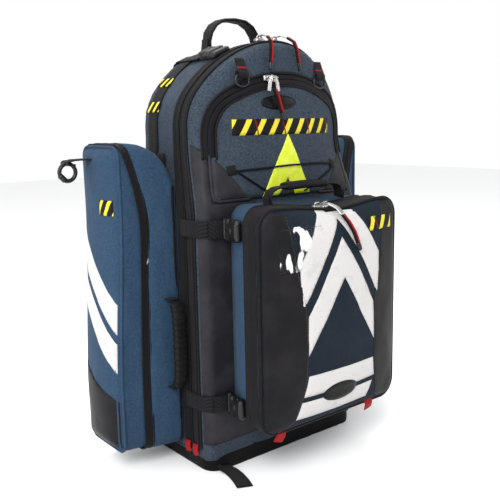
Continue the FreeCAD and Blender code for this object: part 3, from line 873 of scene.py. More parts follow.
POUCH_FOOT, POUCH_TOP = 88.0, 408.0
POUCH_SEAM_Y, POUCH_EDGE_Y, POUCH_NOSE = -168.0, -197.0, 25.0
POUCH_HALF, POUCH_CORNER = 137, 26
pouch_nylon = woven("pouch_side_nylon", (60, 92, 124), thread=2.0, contrast=0.3, Sheen_Weight=0.03)
pouch_front_nylon = woven("pouch_front_nylon", (28, 44, 60), thread=1.8, contrast=0.3, Sheen_Weight=0.02)


def pouch_half(y):
    """Half the pouch's width at depth y: it flares from the pack to the zip, and on to its front edge."""
    return float(np.interp(-y, (100, 168, 197), (111, 129, 137)))


def sag(x, z):
    return -9.0 * math.exp(-((x - 10) / 62) ** 2) * ease(z - 350, 56)


def pouch_ring(y, u, v, out=0.0, nu=0.0, nv=0.0):
    """A point of the pouch's wall at depth y, for the point u, v of its 137 mm half-width outline."""
    x = u * pouch_half(y) / POUCH_HALF + nu * out
    z = v + nv * out
    return x, y, z + sag(x, z) * ease(-y - 100, 60)


POUCH_OUTLINE = round_box(-POUCH_HALF, POUCH_HALF, POUCH_FOOT, POUCH_TOP, POUCH_CORNER)


def pouch_wall(y, belly):
    def put(u, v, nu, nv):
        out = belly + crease((u, y * 1.6, v), 42, 1.5)
        return pouch_ring(y, u, v, out if v > 96 else min(out, 0.3), nu, nv)
    return put


pouch_tub = panel("front_pouch_back", POUCH_OUTLINE,
                  lambda u, v, d: pouch_ring(-100.6, u, v, 0), cell=12,
                  rims=[pouch_wall(y, belly) for y, belly in ((-104, -0.6), (-110, 0.8), (-118, 1.8),
                                                              (-126, 2.4),
                                                              (-134, 2.6), (-142, 2.2), (-150, 1.0),
                                                              (-158, 0.2),
                                                              (-168, 0.0))])
thicken(pouch_tub, 3.4)
dress(pouch_tub, pouch_nylon, "pouch_blue_fabric", "front_pouch", "front_pouch_tub")


def pouch_nose(u, v, d):
    """How far the lid's face stands forward of its edge."""
    across = max(0.0, 1 - (u / POUCH_HALF) ** 2)
    up = max(0.0, 1 - (abs(v - 248) / 160) ** 4)
    dent = crease((u, 0, v), 75, 2.2, 3.0) * ease(d,
                                                  30) - 2.5 * math.exp(-((u - 10) / 60) ** 2) * ease(v - 330,
                                                                                                     60)
    return POUCH_NOSE * across ** 0.75 * up ** 0.6 + dent + 2.0 * swell(d, 7)


def pouch_face(u, v, d):
    x, y, z = pouch_ring(POUCH_EDGE_Y, u, v)
    return x, y - pouch_nose(u, v, d), z


pouch_lid = panel("front_pouch_front", POUCH_OUTLINE, pouch_face, cell=6.0,
                  rims=[pouch_wall(y, belly) for y, belly in ((-194, 0.8), (-190, 0.6), (-184, 0.2),
                                                              (-178, 0.2),
                                                              (-173, 0.0), (-168.4, 0.0))])
thicken(pouch_lid, 3.2)
dress(pouch_lid, pouch_front_nylon, "navy_fabric", "front_pouch_lid", "front_pouch_lid_shell")


def round_the_pouch(name, y, out, section, lean=0.0):
    """A band or piping round the pouch's walls at depth y."""
    line = evenly(round_box(-POUCH_HALF, POUCH_HALF, POUCH_FOOT, POUCH_TOP, POUCH_CORNER, 2.0), 5.0)
    spine = [Vector(pouch_ring(y, u, v)) for u, v in line]

    def outward(k, p, along):
        n = along.cross(Vector((0, 1, 0)))
        if n.dot(p - Vector((0, y, 248))) < 0:
            n = -n
        return n + Vector((0, -lean, 0))
    lifted = []
    for p, n, w in frames(spine, outward, True):
        lifted.append(p + n * out)
    return loft(name, lifted, outward, section, looped=True)


def band_section(width, rise, side):
    """Zip tape lying along Y: rolled up over the coil at one edge. side is the way from the coil."""
    w = width / 2
    line = [(w, 0), (w, 1.0), (w * 0.2, 1.4), (-w * 0.5, 1.3 + rise * 0.5), (-w * 0.8, 1.2 + rise),
            (-w, 1.0 + rise), (-w, 0)]
    return [(side * a, b) for a, b in line]


pouch_bands = [("pouch_zip_band_back", -158.8, 0.8, band_section(17, 2.0, 1), "front_pouch", zip_cloth,
                "zip_tape"),
               ("pouch_zip_band_front", -180.5, 0.6, band_section(24, 2.0, -1), "front_pouch_lid", zip_cloth,
                "zip_tape"),
               ("pouch_zip_piping", -150.0, 1.6, ring_section(2.0), "front_pouch", piping, "black_webbing"),
               ("pouch_front_piping", -196.0, 1.4, ring_section(2.6), "front_pouch_lid", piping,
                "black_webbing"),
               ("pouch_zip_coil_back", -166.2, 2.6, ring_section(1.6, 6), "front_pouch", zip_coil, "zip_tape"),
               ("pouch_zip_coil_front", -170.2, 2.6, ring_section(1.6, 6), "front_pouch_lid", zip_coil,
                "zip_tape")]
for name, y, out, section, body, finish, slot in pouch_bands:
    dress(round_the_pouch(name, y, out, section), finish, slot, body)


# Facings of the front pouch. Coated tarpaulin down both sides, white reflective tapes laid as two chevrons
# and two foot bands, a clear vinyl pocket, an oval badge and a striped tab.

pouch_skin = skin_of(pouch_lid)
INNER_EDGE = [(95, 400), (90, 360), (84, 325), (71, 270), (67, 200), (69, 166), (75, 135), (84, 100)]
facings = []
for sign in (-1, 1):
    edge = [(sign * x, z) for x, z in INNER_EDGE]
    rim = [(sign * x, z) for x, z in ((103, 90.5), (114, 90), (128, 95), (135, 106), (136, 160), (136, 300),
                                      (135.5, 386), (130, 399), (119, 405), (104, 406))]
    facings.append(patch("facing", edge + rim, pouch_skin, 0.8, 6.0))
facing_pair = join_pieces("pouch_coated_facings", facings)
dress(facing_pair, coated_cloth, "coated_black", "front_pouch_lid")

glass = Finish("reflective_tape", 0.42, Coat_Weight=0.15)
bead = glass.grain(2.2, 2.0)
smear = glass.grain(26.0, 4.0, 0.7)
honeycomb = (glass.x * (2 * math.pi / 4.0)).wave() * (glass.z * (2 * math.pi / 4.0)).wave()
wear = smear.step(0.52, 0.72)
glass.colour(glass.blend(wear * 0.5, glass.blend(bead, linear((232, 228, 227), 2.0),
                                                 linear((252, 250, 249), 2.0)),
                         linear((204, 200, 201), 1.8)))
glass.drive("Roughness", smear * 0.3 + 0.3)
glass.relief(honeycomb * 0.2 + smear * 1.2, 0.4)
reflective = glass.material

SLOPE = 1.56


def pouch_chevron(apex, inner_apex, reach, top):
    """An upside-down V with its legs cut off at reach and its head cut off at top."""
    cut = (apex - top) / SLOPE
    head = [(-cut, top), (cut, top)] if cut > 0 else [(0, apex)]
    waist, foot = apex - SLOPE * reach, inner_apex - SLOPE * reach
    return head + [(reach, waist), (reach, foot), (0, inner_apex), (-reach, foot), (-reach, waist)]


outer = patch("pouch_outer_tape", pouch_chevron(456, 388, 80, 402), pouch_skin, 1.2, 5.0)
dress(outer, reflective, "reflective_white", "front_pouch_lid", "pouch_outer_chevron")
inner = patch("pouch_inner_tape", pouch_chevron(362, 304, 68, 402), pouch_skin, 1.4, 5.0)
dress(inner, reflective, "reflective_white", "front_pouch_lid", "pouch_inner_chevron")
feet = [patch("foot", line, pouch_skin, 1.3, 5.0)
        for line in ([(-67, 168), (67, 168), (74, 137), (-74, 137)],
                     [(-76, 129), (70, 129), (62, 103), (-84, 103)])]
foot_bands = join_pieces("pouch_foot_tapes", feet)
dress(foot_bands, reflective, "reflective_white", "front_pouch_lid", "pouch_lower_bands")

oval = [(-5 + 35 * math.cos(t), 133 + 14 * math.sin(t)) for t in np.linspace(0, 2 * math.pi, 33)[:-1]]
tag = patch("pouch_badge", oval, skin_of(pouch_lid, foot_bands), 1.6, 5.0)
dress(tag, badge_rubber, "black_plastic", "front_pouch_lid")
tab = patch("pouch_warning_tab", [(62, 364), (118, 364), (120, 384), (58, 384)],
            skin_of(pouch_lid, facing_pair, outer), 1.4, 5.0)
dress(tab, striped, "black_webbing", "front_pouch_lid")

vinyl = Finish("clear_vinyl", 0.08, Coat_Weight=0.4, Coat_Roughness=0.04)
ripple = vinyl.grain(22.0, 2.0, 0.5, (1.0, 1.0, 0.45))
# The white, nearly opaque patches are painted glare: a painted reflection of the lights in the vinyl's colour
# and opacity.
painted_glare = ripple.step(0.51, 0.55)
vinyl.colour(vinyl.blend(painted_glare, linear((30, 40, 48)), linear((255, 255, 255), 1.6)))
vinyl.drive("Alpha", painted_glare * 0.62 + 0.34)
vinyl.relief(ripple, 2.5)
window = patch("pouch_vinyl_window", [(-112, 384), (-33, 384), (-62, 338), (-74, 322), (-112, 322)],
               skin_of(pouch_lid, facing_pair), 0.7, 4.0)
dress(window, vinyl.material, "clear_vinyl", "front_pouch_lid", "pouch_window")


# Thread. The coated facings are sewn down along their inner edges, and the vinyl pocket along its top, with
# rows of short pale stitches.

thread_finish = Finish("sewing_thread", 0.6)
ply = thread_finish.grain(0.8, 1.0)
thread_finish.colour(thread_finish.blend(ply, linear((96, 96, 100)), linear((140, 140, 146))))
thread_finish.relief(ply, 0.2)
dark_thread_finish = Finish("dark_thread", 0.6)
ply = dark_thread_finish.grain(0.8, 1.0)
dark_thread_finish.colour(dark_thread_finish.blend(ply, linear((40, 44, 52)), linear((78, 84, 96))))
dark_thread_finish.relief(ply, 0.2)


def stitches(name, line, tree, view=FRONT, pitch=4.2, length=2.7, width=0.8, lift=0.25, closed=False):
    """A row of stitches along a line drawn on a surface."""
    bm = bmesh.new()
    way = Vector(view["way"])
    spots = evenly(line, pitch, closed)
    for a, b in zip(spots, spots[1:]):
        hit = toward(tree, view["start"](*a), way)
        ahead = toward(tree, view["start"](*b), way)
        if hit is None or ahead is None or (ahead - hit).length > pitch * 3:
            continue
        run = (ahead - hit).normalized() * length / 2
        side = run.cross(way).normalized() * width / 2
        up = -way * (lift + 0.35)
        base = hit + (ahead - hit) / 2 - way * lift * 0.2
        low = [base - run, base + side, base + run, base - side]
        crown = [bm.verts.new(base + up - run * 0.5), bm.verts.new(base + up + run * 0.5)]
        ring = [bm.verts.new(p) for p in low]
        bm.faces.new((ring[0], ring[1], crown[0]))
        bm.faces.new((ring[1], crown[1], crown[0]))
        bm.faces.new((ring[1], ring[2], crown[1]))
        bm.faces.new((ring[2], ring[3], crown[1]))
        bm.faces.new((ring[3], crown[0], crown[1]))
        bm.faces.new((ring[3], ring[0], crown[0]))
    return new_piece(name, bm, smooth=False)


faced = skin_of(pouch_lid, facing_pair, outer, inner, foot_bands, window)
rows = []
for sign in (-1, 1):
    rows.append(stitches("row", [(sign * (x + 2.2), z) for x, z in INNER_EDGE], faced))
rows.append(stitches("row", [(-111, 381.5), (-36, 381.5)], faced))
facing_thread = join_pieces("facing_stitches", rows)
dress(facing_thread, thread_finish.material, "black_webbing", "front_pouch_lid")


# Carry strap of the front pouch: webbing between two lugs, with a ribbed rubber sleeve for the hand.

rubber_finish = Finish("ribbed_rubber", 0.5)
bloom = rubber_finish.grain(8.0, 3.0)
rubber_finish.colour(rubber_finish.blend(bloom, linear((24, 23, 24)), linear((50, 48, 50))))
rubber_finish.drive("Roughness", bloom * 0.3 + 0.36)
rubber_finish.relief(bloom, 0.3)
rubber = rubber_finish.material
strap_line = evenly([(-72.5, -140, 410), (-72.5, -140, 420), (-69, -140, 427), (-59, -140, 431.5),
                     (-30, -140, 433.5),
                     (30, -140, 433.5), (59, -140, 431.5), (69, -140, 427), (72.5, -140, 420),
                     (72.5, -140, 410)],
                    4, closed=False)
carry = loft("front_carry_strap", strap_line, lambda k, p, way: way.cross(Vector((0, 1, 0))),
             [(a, b - 1.2) for a, b in strap_section(18, 2.6)])
dress(carry, webbing, "black_webbing", "front_grip", "front_handle_strap")


def ribbed_bar(name, spine, normals, width, height, pitch=5.0, depth=1.1):
    """A rubber grip: a soft oblong bar, its ribs running round it, tapered at both ends."""
    section = [(width / 2 * math.copysign(abs(math.cos(t)) ** 0.6, math.cos(t)),
                height / 2 * math.copysign(abs(math.sin(t)) ** 0.6, math.sin(t)))
               for t in np.linspace(0, 2 * math.pi, 21)[:-1]]
    run = [0.0]
    for a, b in zip(spine, spine[1:]):
        run.append(run[-1] + math.dist(a, b))

    def ribs(k, share):
        taper = 0.62 + 0.38 * swell(min(run[k], run[-1] - run[k]), 11)
        wave = max(0.0, math.sin(2 * math.pi * run[k] / pitch)) * depth
        return taper * (1 - wave / width), taper * (1 - wave * 1.6 / height)
    return loft(name, spine, normals, section, vary=ribs)


grip = ribbed_bar("front_grip_rubber", evenly([(-42, -140, 433.0), (0, -140, 434.0), (42, -140, 433.0)], 1.25,
                                              False),
                  lambda k, p, way: (0, 0, 1), 25, 11.5)
dress(grip, rubber, "ribbed_rubber", "front_grip", "front_grip_sleeve")
lugs = []
for sign in (-1, 1):
    line = evenly([(sign * 77, -140, 398), (sign * 77, -140, 410), (sign * 77, -140, 421)], 3, False)
    lugs.append(loft("lug", line, lambda k, p, way: (1, 0, 0), strap_section(13, 2.6)))
lug_pair = join_pieces("pouch_strap_lugs", lugs)
dress(lug_pair, webbing, "black_webbing", "front_pouch")


# Side pouches. Each is a tall nylon case on the pack's flank: an inner tub with a round shoulder, and an
# outer half that opens on a zip which leans outward towards the top. Coated toe, reflective slashes.

SIDE_IN, SIDE_SPLIT, SIDE_RIM, SIDE_FOOT, SIDE_TOP = 163.0, 214.0, 261.0, 34.0, 497.0
SIDE_REACH, SHOULDER_AT, CASE_SHOULDER_R, CORNER_AT, CASE_CORNER_R = 104, 233, 70, 249, 28


def side_front(x):
    return -30 + 18 * (x - SIDE_IN) / SIDE_REACH


def side_back(x):
    return 72 + 20 * (x - SIDE_IN) / SIDE_REACH


def round_off(past, radius):
    """How much a round corner has dropped at a distance past its start."""
    return radius - math.sqrt(max(0.0, radius ** 2 - past ** 2)) if past > 0 else 0.0


def side_top(x):
    if x < SHOULDER_AT:
        return SIDE_TOP - round_off(SHOULDER_AT - x, CASE_SHOULDER_R)
    return SIDE_TOP - round_off(x - CORNER_AT, CASE_CORNER_R)


def side_foot(x):
    return SIDE_FOOT + round_off(x - CORNER_AT, CASE_CORNER_R)


def split_at(z):
    """How far out the zip runs at height z."""
    return SIDE_SPLIT + 32 * max(0.0, min(1.0, (z - 372) / 125)) ** 1.7


def side_point(x, share_y, share_z, out=0.0, ny=0.0, nz=0.0):
    y = side_front(x) + share_y * (side_back(x) - side_front(x))
    z = side_foot(x) + share_z * (side_top(x) - side_foot(x))
    return Vector((x, y + ny * out, z + nz * out))


CASE_Y, CASE_Z = 104.0, 456.0
CASE = round_box(0, CASE_Y, 0, CASE_Z, 15)


def shares(u, v):
    return u / CASE_Y, v / CASE_Z


def case_wall(station, seed, belly):
    """A row of the case's wall. station is 0 at the pack, 1 at the zip and 2 at the outer rim."""
    def put(u, v, nu, nv):
        sy, sz = shares(u, v)
        split = split_at(SIDE_FOOT + sz * (SIDE_TOP - SIDE_FOOT))
        x = (SIDE_IN + (split - SIDE_IN) * station if station <= 1
             else split + (SIDE_RIM - split) * (station - 1))
        out = belly * math.sin(math.pi * min(1, max(0, sz))) + crease((x * 1.3, u, v * 0.5), 38, 1.7, seed)
        if v < 12:
            out = min(out, 0.2)
        return side_point(x, sy, sz, out, nu, nv)
    return put


def mirror(point, sign):
    """A point of the case as it hangs: the pattern's outer wall settles inward, most at the top."""
    x, y, z = point
    lean = 0.05 + 0.13 * ease(z - 120, 300)
    return Vector((sign * (SIDE_IN + (x - SIDE_IN) * (1 - lean)), y, z))


side_pieces = {}
for sign, word in ((-1, "left"), (1, "right")):
    seed = 5.0 if sign < 0 else 9.0

    def near(u, v, d, sign=sign):
        return mirror(side_point(SIDE_IN + 0.6, *shares(u, v)), sign)

    def outer_face(u, v, d, sign=sign, seed=seed):
        sy, sz = shares(u, v)
        p = side_point(SIDE_RIM, sy, sz)
        fold = crease((0, u, v * 0.6), 70, 2.0, seed) * ease(d, 18)
        p.x += 6 * swell(d, 10) + 9.5 * (1 - (2 * sy - 1) ** 2) * ease(d, 22) + fold
        return mirror(p, sign)

    def walls(stations, sign=sign, seed=seed):
        return [lambda u, v, nu, nv, w=case_wall(s, seed, b): mirror(w(u, v, nu, nv), sign) for s,
                b in stations]

    tub_rows = walls([(0.06, 0.0), (0.2, 0.8), (0.36, 1.4), (0.52, 1.6), (0.68, 1.4), (0.84, 0.8), (1.0, 0.0)])
    case_tub = panel(f"{word}_case_tub", CASE, near, tub_rows, cell=12)
    thicken(case_tub, 3.2)
    dress(case_tub, pouch_nylon, "pouch_blue_fabric", f"{word}_pouch", f"{word}_pouch_tub")
    lid_rows = walls([(1.92, 1.0), (1.78, 1.2), (1.6, 0.6), (1.42, 0.4), (1.24, 0.4), (1.1, 0.2), (1.012, 0.0)])
    case_lid = panel(f"{word}_case_lid", CASE, outer_face, lid_rows, cell=7)
    thicken(case_lid, 3.2)
    dress(case_lid, pouch_nylon, "pouch_blue_fabric", f"{word}_pouch_lid", f"{word}_pouch_lid_shell")
    side_pieces[word] = (case_tub, case_lid)


def round_the_case(name, sign, station, out, section, hinge_open=True, shift=0.0):
    """A band or piping round the case at a station of its wall; a zip stops at the hinge along its back."""
    line = evenly(round_box(0, CASE_Y, 0, CASE_Z, 15, 2.0), 5.0)
    if hinge_open:
        line = [p for p in line if p[0] < CASE_Y - 7]
        start = next((k for k in range(len(line)) if math.dist(line[k], line[k - 1]) > 20), 0)
        line = line[start:] + line[:start]
    wall = case_wall(station, 5.0 if sign < 0 else 9.0, 0.0)
    spine = []
    for u, v in line:
        p = wall(u, v, 0, 0)
        p.x += shift
        spine.append(mirror(p, sign))

    def outward(k, p, along):
        n = along.cross(Vector((1, 0, 0)))
        if n.dot(p - Vector((p.x, 32, 265))) < 0:
            n = -n
        return n
    spine = [p + n * out for p, n, w in frames(spine, outward, not hinge_open)]
    return loft(name, spine, outward, section, looped=not hinge_open)


def tag_tape(name, pitch, slant, start=0.0):
    """Black tape woven with yellow bars that lean along the pack's side."""
    cloth = Finish(name, 0.5)
    turn = ((cloth.y + cloth.z * slant) / pitch + start).fraction()
    yellow_bar = turn.math("COMPARE", turn, 0.5, 0.2)
    thready = cloth.grain(1.6, 2.0)
    ground = cloth.blend(thready, linear((24, 22, 24)), linear((46, 42, 46)))
    cloth.colour(cloth.blend(yellow_bar, ground, linear((250, 238, 60), 1.7)))
    cloth.relief(thready * 0.5 + yellow_bar, 0.3)
    return cloth.material


SIDE = {-1: dict(start=lambda u, v: (-420, u, v), way=(1, 0, 0)),
        1: dict(start=lambda u, v: (420, u, v), way=(-1, 0, 0))}
for sign, word in ((-1, "left"), (1, "right")):
    bands = [("inner_band", 1.0, 0.9, strap_section(11, 1.6), -7.0, "pouch", zip_cloth, "zip_tape", True),
             ("outer_band", 1.0, 0.9, strap_section(11, 1.6), 7.0, "pouch_lid", zip_cloth, "zip_tape", True),
             ("inner_coil", 1.0, 2.2, ring_section(1.5, 6), -1.7, "pouch", zip_coil, "zip_tape", True),
             ("outer_coil", 1.0, 2.2, ring_section(1.5, 6), 1.7, "pouch_lid", zip_coil, "zip_tape", True),
             ("inner_piping", 1.0, 1.5, ring_section(1.4), -12.6, "pouch", piping, "black_webbing", True),
             ("outer_piping", 1.0, 1.5, ring_section(1.4), 12.6, "pouch_lid", piping, "black_webbing", True),
             ("rim_piping", 1.98, 1.2, ring_section(2.2), 0.0, "pouch_lid", None, "pouch_blue_fabric", False),
             ("root_binding", 0.03, 0.8, ring_section(2.8), 1.0, "pouch", piping, "black_webbing", False)]
    for part, station, out, section, shift, owner, finish, slot, hinge in bands:
        strip = round_the_case(f"{word}_{part}", sign, station, out, section, hinge, shift)
        dress(strip, finish or pouch_nylon, slot, f"{word}_{owner}")

    case_lid = side_pieces[word][1]
    side_skin = skin_of(case_lid)
    view = SIDE[sign]
    slashes = [patch("slash", [(-9, foot), (89, foot + 112), (89, foot + 156), (-9, foot + 45)], side_skin,
                     1.1, 5.0,
                     view) for foot in (221, 162)]
    pair = join_pieces(f"{word}_reflective_slashes", slashes)
    dress(pair, reflective, "reflective_white", f"{word}_pouch_lid", f"{word}_pouch_reflectors")
    toe = patch(f"{word}_coated_toe", [(-10, 44), (88, 44), (88, 168), (-10, 118)], side_skin, 0.9, 7.0, view)
    dress(toe, coated_cloth, "coated_black", f"{word}_pouch_lid")
    flag = patch(f"{word}_striped_flag", [(-4, 397), (26, 397), (26, 419), (-4, 419)], side_skin, 1.3, 4.0,
                 view)
    dress(flag, tag_tape(f"{word}_flag_tape", 17.0, 0.5, 0.1), "black_webbing", f"{word}_pouch_lid")

    # The grip on the pouch's front wall: a ribbed rubber bar on two webbing lugs
    bar_line = evenly([(sign * 177, -44, 134), (sign * 177, -50, 139), (sign * 177, -54, 150),
                       (sign * 177, -55, 199), (sign * 177, -54, 248), (sign * 177, -50, 259),
                       (sign * 177, -44, 264)], 1.25, False)
    bar = ribbed_bar(f"{word}_case_grip", bar_line, lambda k, p, way: (0, -1, 0), 20, 13, 9.0, 2.2)
    dress(bar, rubber, "ribbed_rubber", f"{word}_grip", f"{word}_side_grip")
    lugs = []
    for z, tip in ((130, -44), (268, -44)):
        line = evenly([(sign * 177, -27, z), (sign * 177, -34, z), (sign * 177, tip, z)], 3, False)
        lugs.append(loft("lug", line, lambda k, p, way: (0, 0, 1),
                         [(a, b - 1.5) for a, b in strap_section(17, 3)]))
    dress(join_pieces(f"{word}_grip_lugs", lugs), webbing, "black_webbing", f"{word}_pouch")


# Compression straps and their buckles. Four black webbings come round the lid's edge to side-release
# buckles on the front pouch: the socket is sewn to the pouch, the pronged plug slides on the webbing.

moulded = Finish("moulded_plastic", 0.34)
grainy = moulded.grain(1.6, 3.0)
handled = moulded.grain(18.0, 3.0)
moulded.colour(moulded.blend(handled, linear((14, 13, 14)), linear((36, 35, 37))))
moulded.drive("Roughness", grainy * 0.12 + handled * 0.18 + 0.2)
moulded.relief(grainy, 0.12)
moulded.shader.inputs["Specular IOR Level"].default_value = 0.35
black_plastic = moulded.material


def moulding(name, outline, put, thick, crown=2.0, cell=2.6):
    """A moulded plate in its own flat frame: a soft-edged outline, thick high, its face a little crowned.
    put(u, v, height) places it."""
    def face(u, v, d):
        return put(u, v, thick - crown + crown * swell(d, 3.4))
    return panel(name, outline, face, [lambda u, v, nu, nv: put(u + nu * 0.3, v + nv * 0.3,
                                                                (thick - crown) * 0.5),
                                       lambda u, v, nu, nv: put(u - nu * 0.5, v - nv * 0.5, 0.0)], cell)


SOCKET = [(-34, -12), (-30, -15.5), (-24, -16), (-21, -13), (-11, -12.4), (-7, -15.6), (-1, -16), (0, -14),
          (0, 14),
          (-1, 16), (-7, 15.6), (-11, 12.4), (-21, 13), (-24, 16), (-30, 15.5), (-34, 12)]
PLUG = [(1, -15), (3, -16), (13, -16), (15.5, -13.5), (15.5, 13.5), (13, 16), (3, 16), (1, 15)]
PRONG = [(-25, 9.5), (-23, 14.5), (-17, 16.3), (-10, 14.6), (-4, 12.6), (2, 12.4), (2, 8), (-8, 8.5), (-18, 8)]


def buckle_parts(put):
    """The socket and the plug of one side-release buckle."""
    socket = [moulding("s", SOCKET, put, 10.6), moulding("s", round_box(-30, -26, -11, 11, 1.6, 2),
                                                         lambda u, v, h: put(u, v, h + 9.4), 2.4, 0.8)]
    socket.append(moulding("s", round_box(-19, -6, -5.5, 5.5, 4, 2), lambda u, v, h: put(u, v, h + 9.6), 1.6,
                           1.0))
    plug = [moulding("p", PLUG, put, 8.0)]
    plug += [moulding("p", [(u, sign * v) for u, v in PRONG], lambda u, v, h: put(u, v, h + 2.2), 6.4, 1.6)
             for sign in (-1, 1)]
    plug.append(moulding("p", round_box(4, 7, -11, 11, 1.2, 2), lambda u, v, h: put(u, v, h + 7.0), 2.0, 0.8))
    return socket, plug


STRAP_Z = (376.0, 112.0)
webs, sockets, plugs = [], [], []
for sign in (-1, 1):
    for z in STRAP_Z:
        path = [(161.6, -47), (162.6, -60), (162.8, -76), (158.5, -89), (150, -99), (141, -104.5),
                (130, -107.5)]
        spine = evenly([(sign * x, y, z) for x, y in path], 3, closed=False)
        centre = Vector((sign * 120, -60, z))
        webs.append(loft("w", spine, lambda k, p, way, c=centre: p - c, strap_section(WEBBING, 1.7)))
        # A short fold of webbing lies back over the strap where it is tacked to the pack's edge
        fold = evenly([(sign * x, y, z + 1.0) for x, y in path[1:5]], 3, closed=False)
        webs.append(loft("w", fold, lambda k, p, way, c=centre: p - c, [(a, b + 1.6) for a, b in
                                                                         strap_section(23, 1.5)]))

        def put(u, v, h, sign=sign, z=z):
            return Vector((sign * (123.5 + h + 0.10 * (-u - 5)), -114.0 + u, z + v))
        socket, plug = buckle_parts(put)
        sockets += socket
        plugs += plug
strap_set = join_pieces("compression_webbing", webs)
dress(strap_set, webbing, "black_webbing", "main_lid", "compression_straps")
socket_set = join_pieces("pouch_buckle_sockets", sockets)
dress(socket_set, black_plastic, "black_plastic", "front_pouch", "front_buckle_sockets")
plug_set = join_pieces("pouch_buckle_plugs", plugs)
dress(plug_set, black_plastic, "black_plastic", "main_lid", "front_buckle_plugs")
anchors = []
for sign in (-1, 1):
    for z in STRAP_Z:
        path = evenly([(sign * 121.5, -130, z), (sign * 126.5, -149, z), (sign * 127.0, -158, z)], 3,
                      closed=False)
        anchors.append(loft("a", path, lambda k, p, way, s=sign: (s, -0.1, 0), strap_section(WEBBING, 1.6)))
anchor_set = join_pieces("pouch_buckle_webbing", anchors)
dress(anchor_set, webbing, "black_webbing", "front_pouch")


# Crown straps. Two webbings run forward over the crown to buckles that hold the lid up when its zip is
# open; behind them the haul loop of doubled webbing stands on two sewn lugs.

CROWN = sorted(p for p in body_arch() if p[1] > 560)


def crown_height(x):
    """How high the filled pack's crown is above x in the pattern."""
    return float(np.interp(x, [p[0] for p in CROWN], [p[1] for p in CROWN]))


CROWN_LEAN, CROWN_STRAP_X = math.radians(22), 80.0
webs, sockets, plugs = [], [], []
for sign in (-1, 1):
    at = sign * CROWN_STRAP_X
    rows = [(y, crown_height(at) + lift) for y, lift in ((76, -30), (76.5, -12), (74, -3), (68, 1.2), (50, 1.4),
                                                       (30, 1.4), (10, 1.6), (2, 4.0))]
    up = Vector((math.sin(CROWN_LEAN) * sign, 0, math.cos(CROWN_LEAN)))
    spine = evenly([tuple(settle((at, y, z))) for y, z in rows], 4, closed=False)
    webs.append(loft("w", spine, lambda k, p, way, up=up: way.cross(Vector((up.z, 0, -up.x))) * -1
                     if abs(way.z) > 0.5 else up, strap_section(WEBBING, 1.6)))

    def put(u, v, h, at=at, up=up):
        across = Vector((up.z, 0, -up.x))
        spot = Vector((at, -34.0, crown_height(at) + 2.2)) - Vector((0, 1, 0)) * u + across * v + up * h
        return settle(spot)
    socket, plug = buckle_parts(put)
    sockets += socket
    plugs += plug
crown_set = join_pieces("crown_straps", webs)
dress(crown_set, webbing, "black_webbing", "pack", "crown_webbing")
socket_set = join_pieces("crown_buckle_sockets", sockets)
dress(socket_set, black_plastic, "black_plastic", "pack", "top_buckle_sockets")
plug_set = join_pieces("crown_buckle_plugs", plugs)
dress(plug_set, black_plastic, "black_plastic", "main_lid", "top_buckle_plugs")

haul_line = [(-53, 646), (-53.5, 655), (-50, 668), (-40, 680), (-24, 688), (0, 690), (24, 688), (40, 680),
             (50, 668),
             (53.5, 655), (53, 646)]
spine = evenly([tuple(settle((x, 30, z))) for x, z in haul_line], 2.5, closed=False)
haul = loft("haul_loop", spine, lambda k, p, way: way.cross(Vector((0, 1, 0))),
            [(a, b - 2.2) for a, b in strap_section(WEBBING, 4.4)],
            vary=lambda k, share: (0.78 + 0.22 * ease(min(share, 1 - share), 0.18), 1.0 + 0.12 * (k % 2)))
dress(haul, webbing, "black_webbing", "haul", "haul_handle")
lugs = []
for sign in (-1, 1):
    x = sign * 57.5
    line = evenly([tuple(settle((x + sign * 4, 30, crown_height(x) - 6))), tuple(settle((x, 30, 652))),
                   tuple(settle((x, 30, 657)))], 2.5, closed=False)
    lugs.append(loft("lug", line, lambda k, p, way: (1, 0, 0), [(a, b - 1.4) for a,
                                                                b in strap_section(17, 2.8)]))
lug_pair = join_pieces("haul_loop_lugs", lugs)
dress(lug_pair, webbing, "black_webbing", "pack", "haul_lugs")

# Flank webbing: a strap sewn down each side behind the zip, tacked with striped tags
flanks, flags = [], []
for sign in (-1, 1):
    line = [p for p in body_arch(0, 4.0) if p[1] > 300 and 66 < sign * p[0]]
    line.sort(key=lambda p: -p[1])
    spine = [tuple(settle((x, 42, z))) for x, z in line]
    flanks.append(loft("flank", spine, lambda k, p, way, s=sign: way.cross(Vector((0, s, 0))),
                       [(a, b - 0.4) for a, b in strap_section(27, 2.4)]))
    for top, foot in ((596, 581), (560, 544)):
        part = [p for p in line if foot < p[1] < top]
        spine = [tuple(settle((x, 42, z))) for x, z in part]
        flags.append(loft("flag", spine, lambda k, p, way, s=sign: way.cross(Vector((0, s, 0))),
                          [(a, b + 1.6) for a, b in strap_section(31, 1.8)]))
    spine = evenly([tuple(settle((sign * 160.5, y, 468))) for y in (22, 12, 2)], 3, closed=False)
    flanks.append(loft("loop", spine, lambda k, p, way, s=sign: (s, 0, 0), strap_section(30, 3.4)))
flank_pair = join_pieces("flank_webbing", flanks)
dress(flank_pair, webbing, "black_webbing", "pack")
flag_pair = join_pieces("flank_striped_tags", flags)
dress(flag_pair, tag_tape("flank_tag_tape", 15.0, 0.6), "black_webbing", "pack")


# Lash rings, snap hook and red thread. Oval rings hang in folded webbing tabs above the flap, a round snap
# hook hangs on the left case, and red webbing tacks cross the ring tabs, with red ends at the front pouch's
# foot and the main zip's ends.

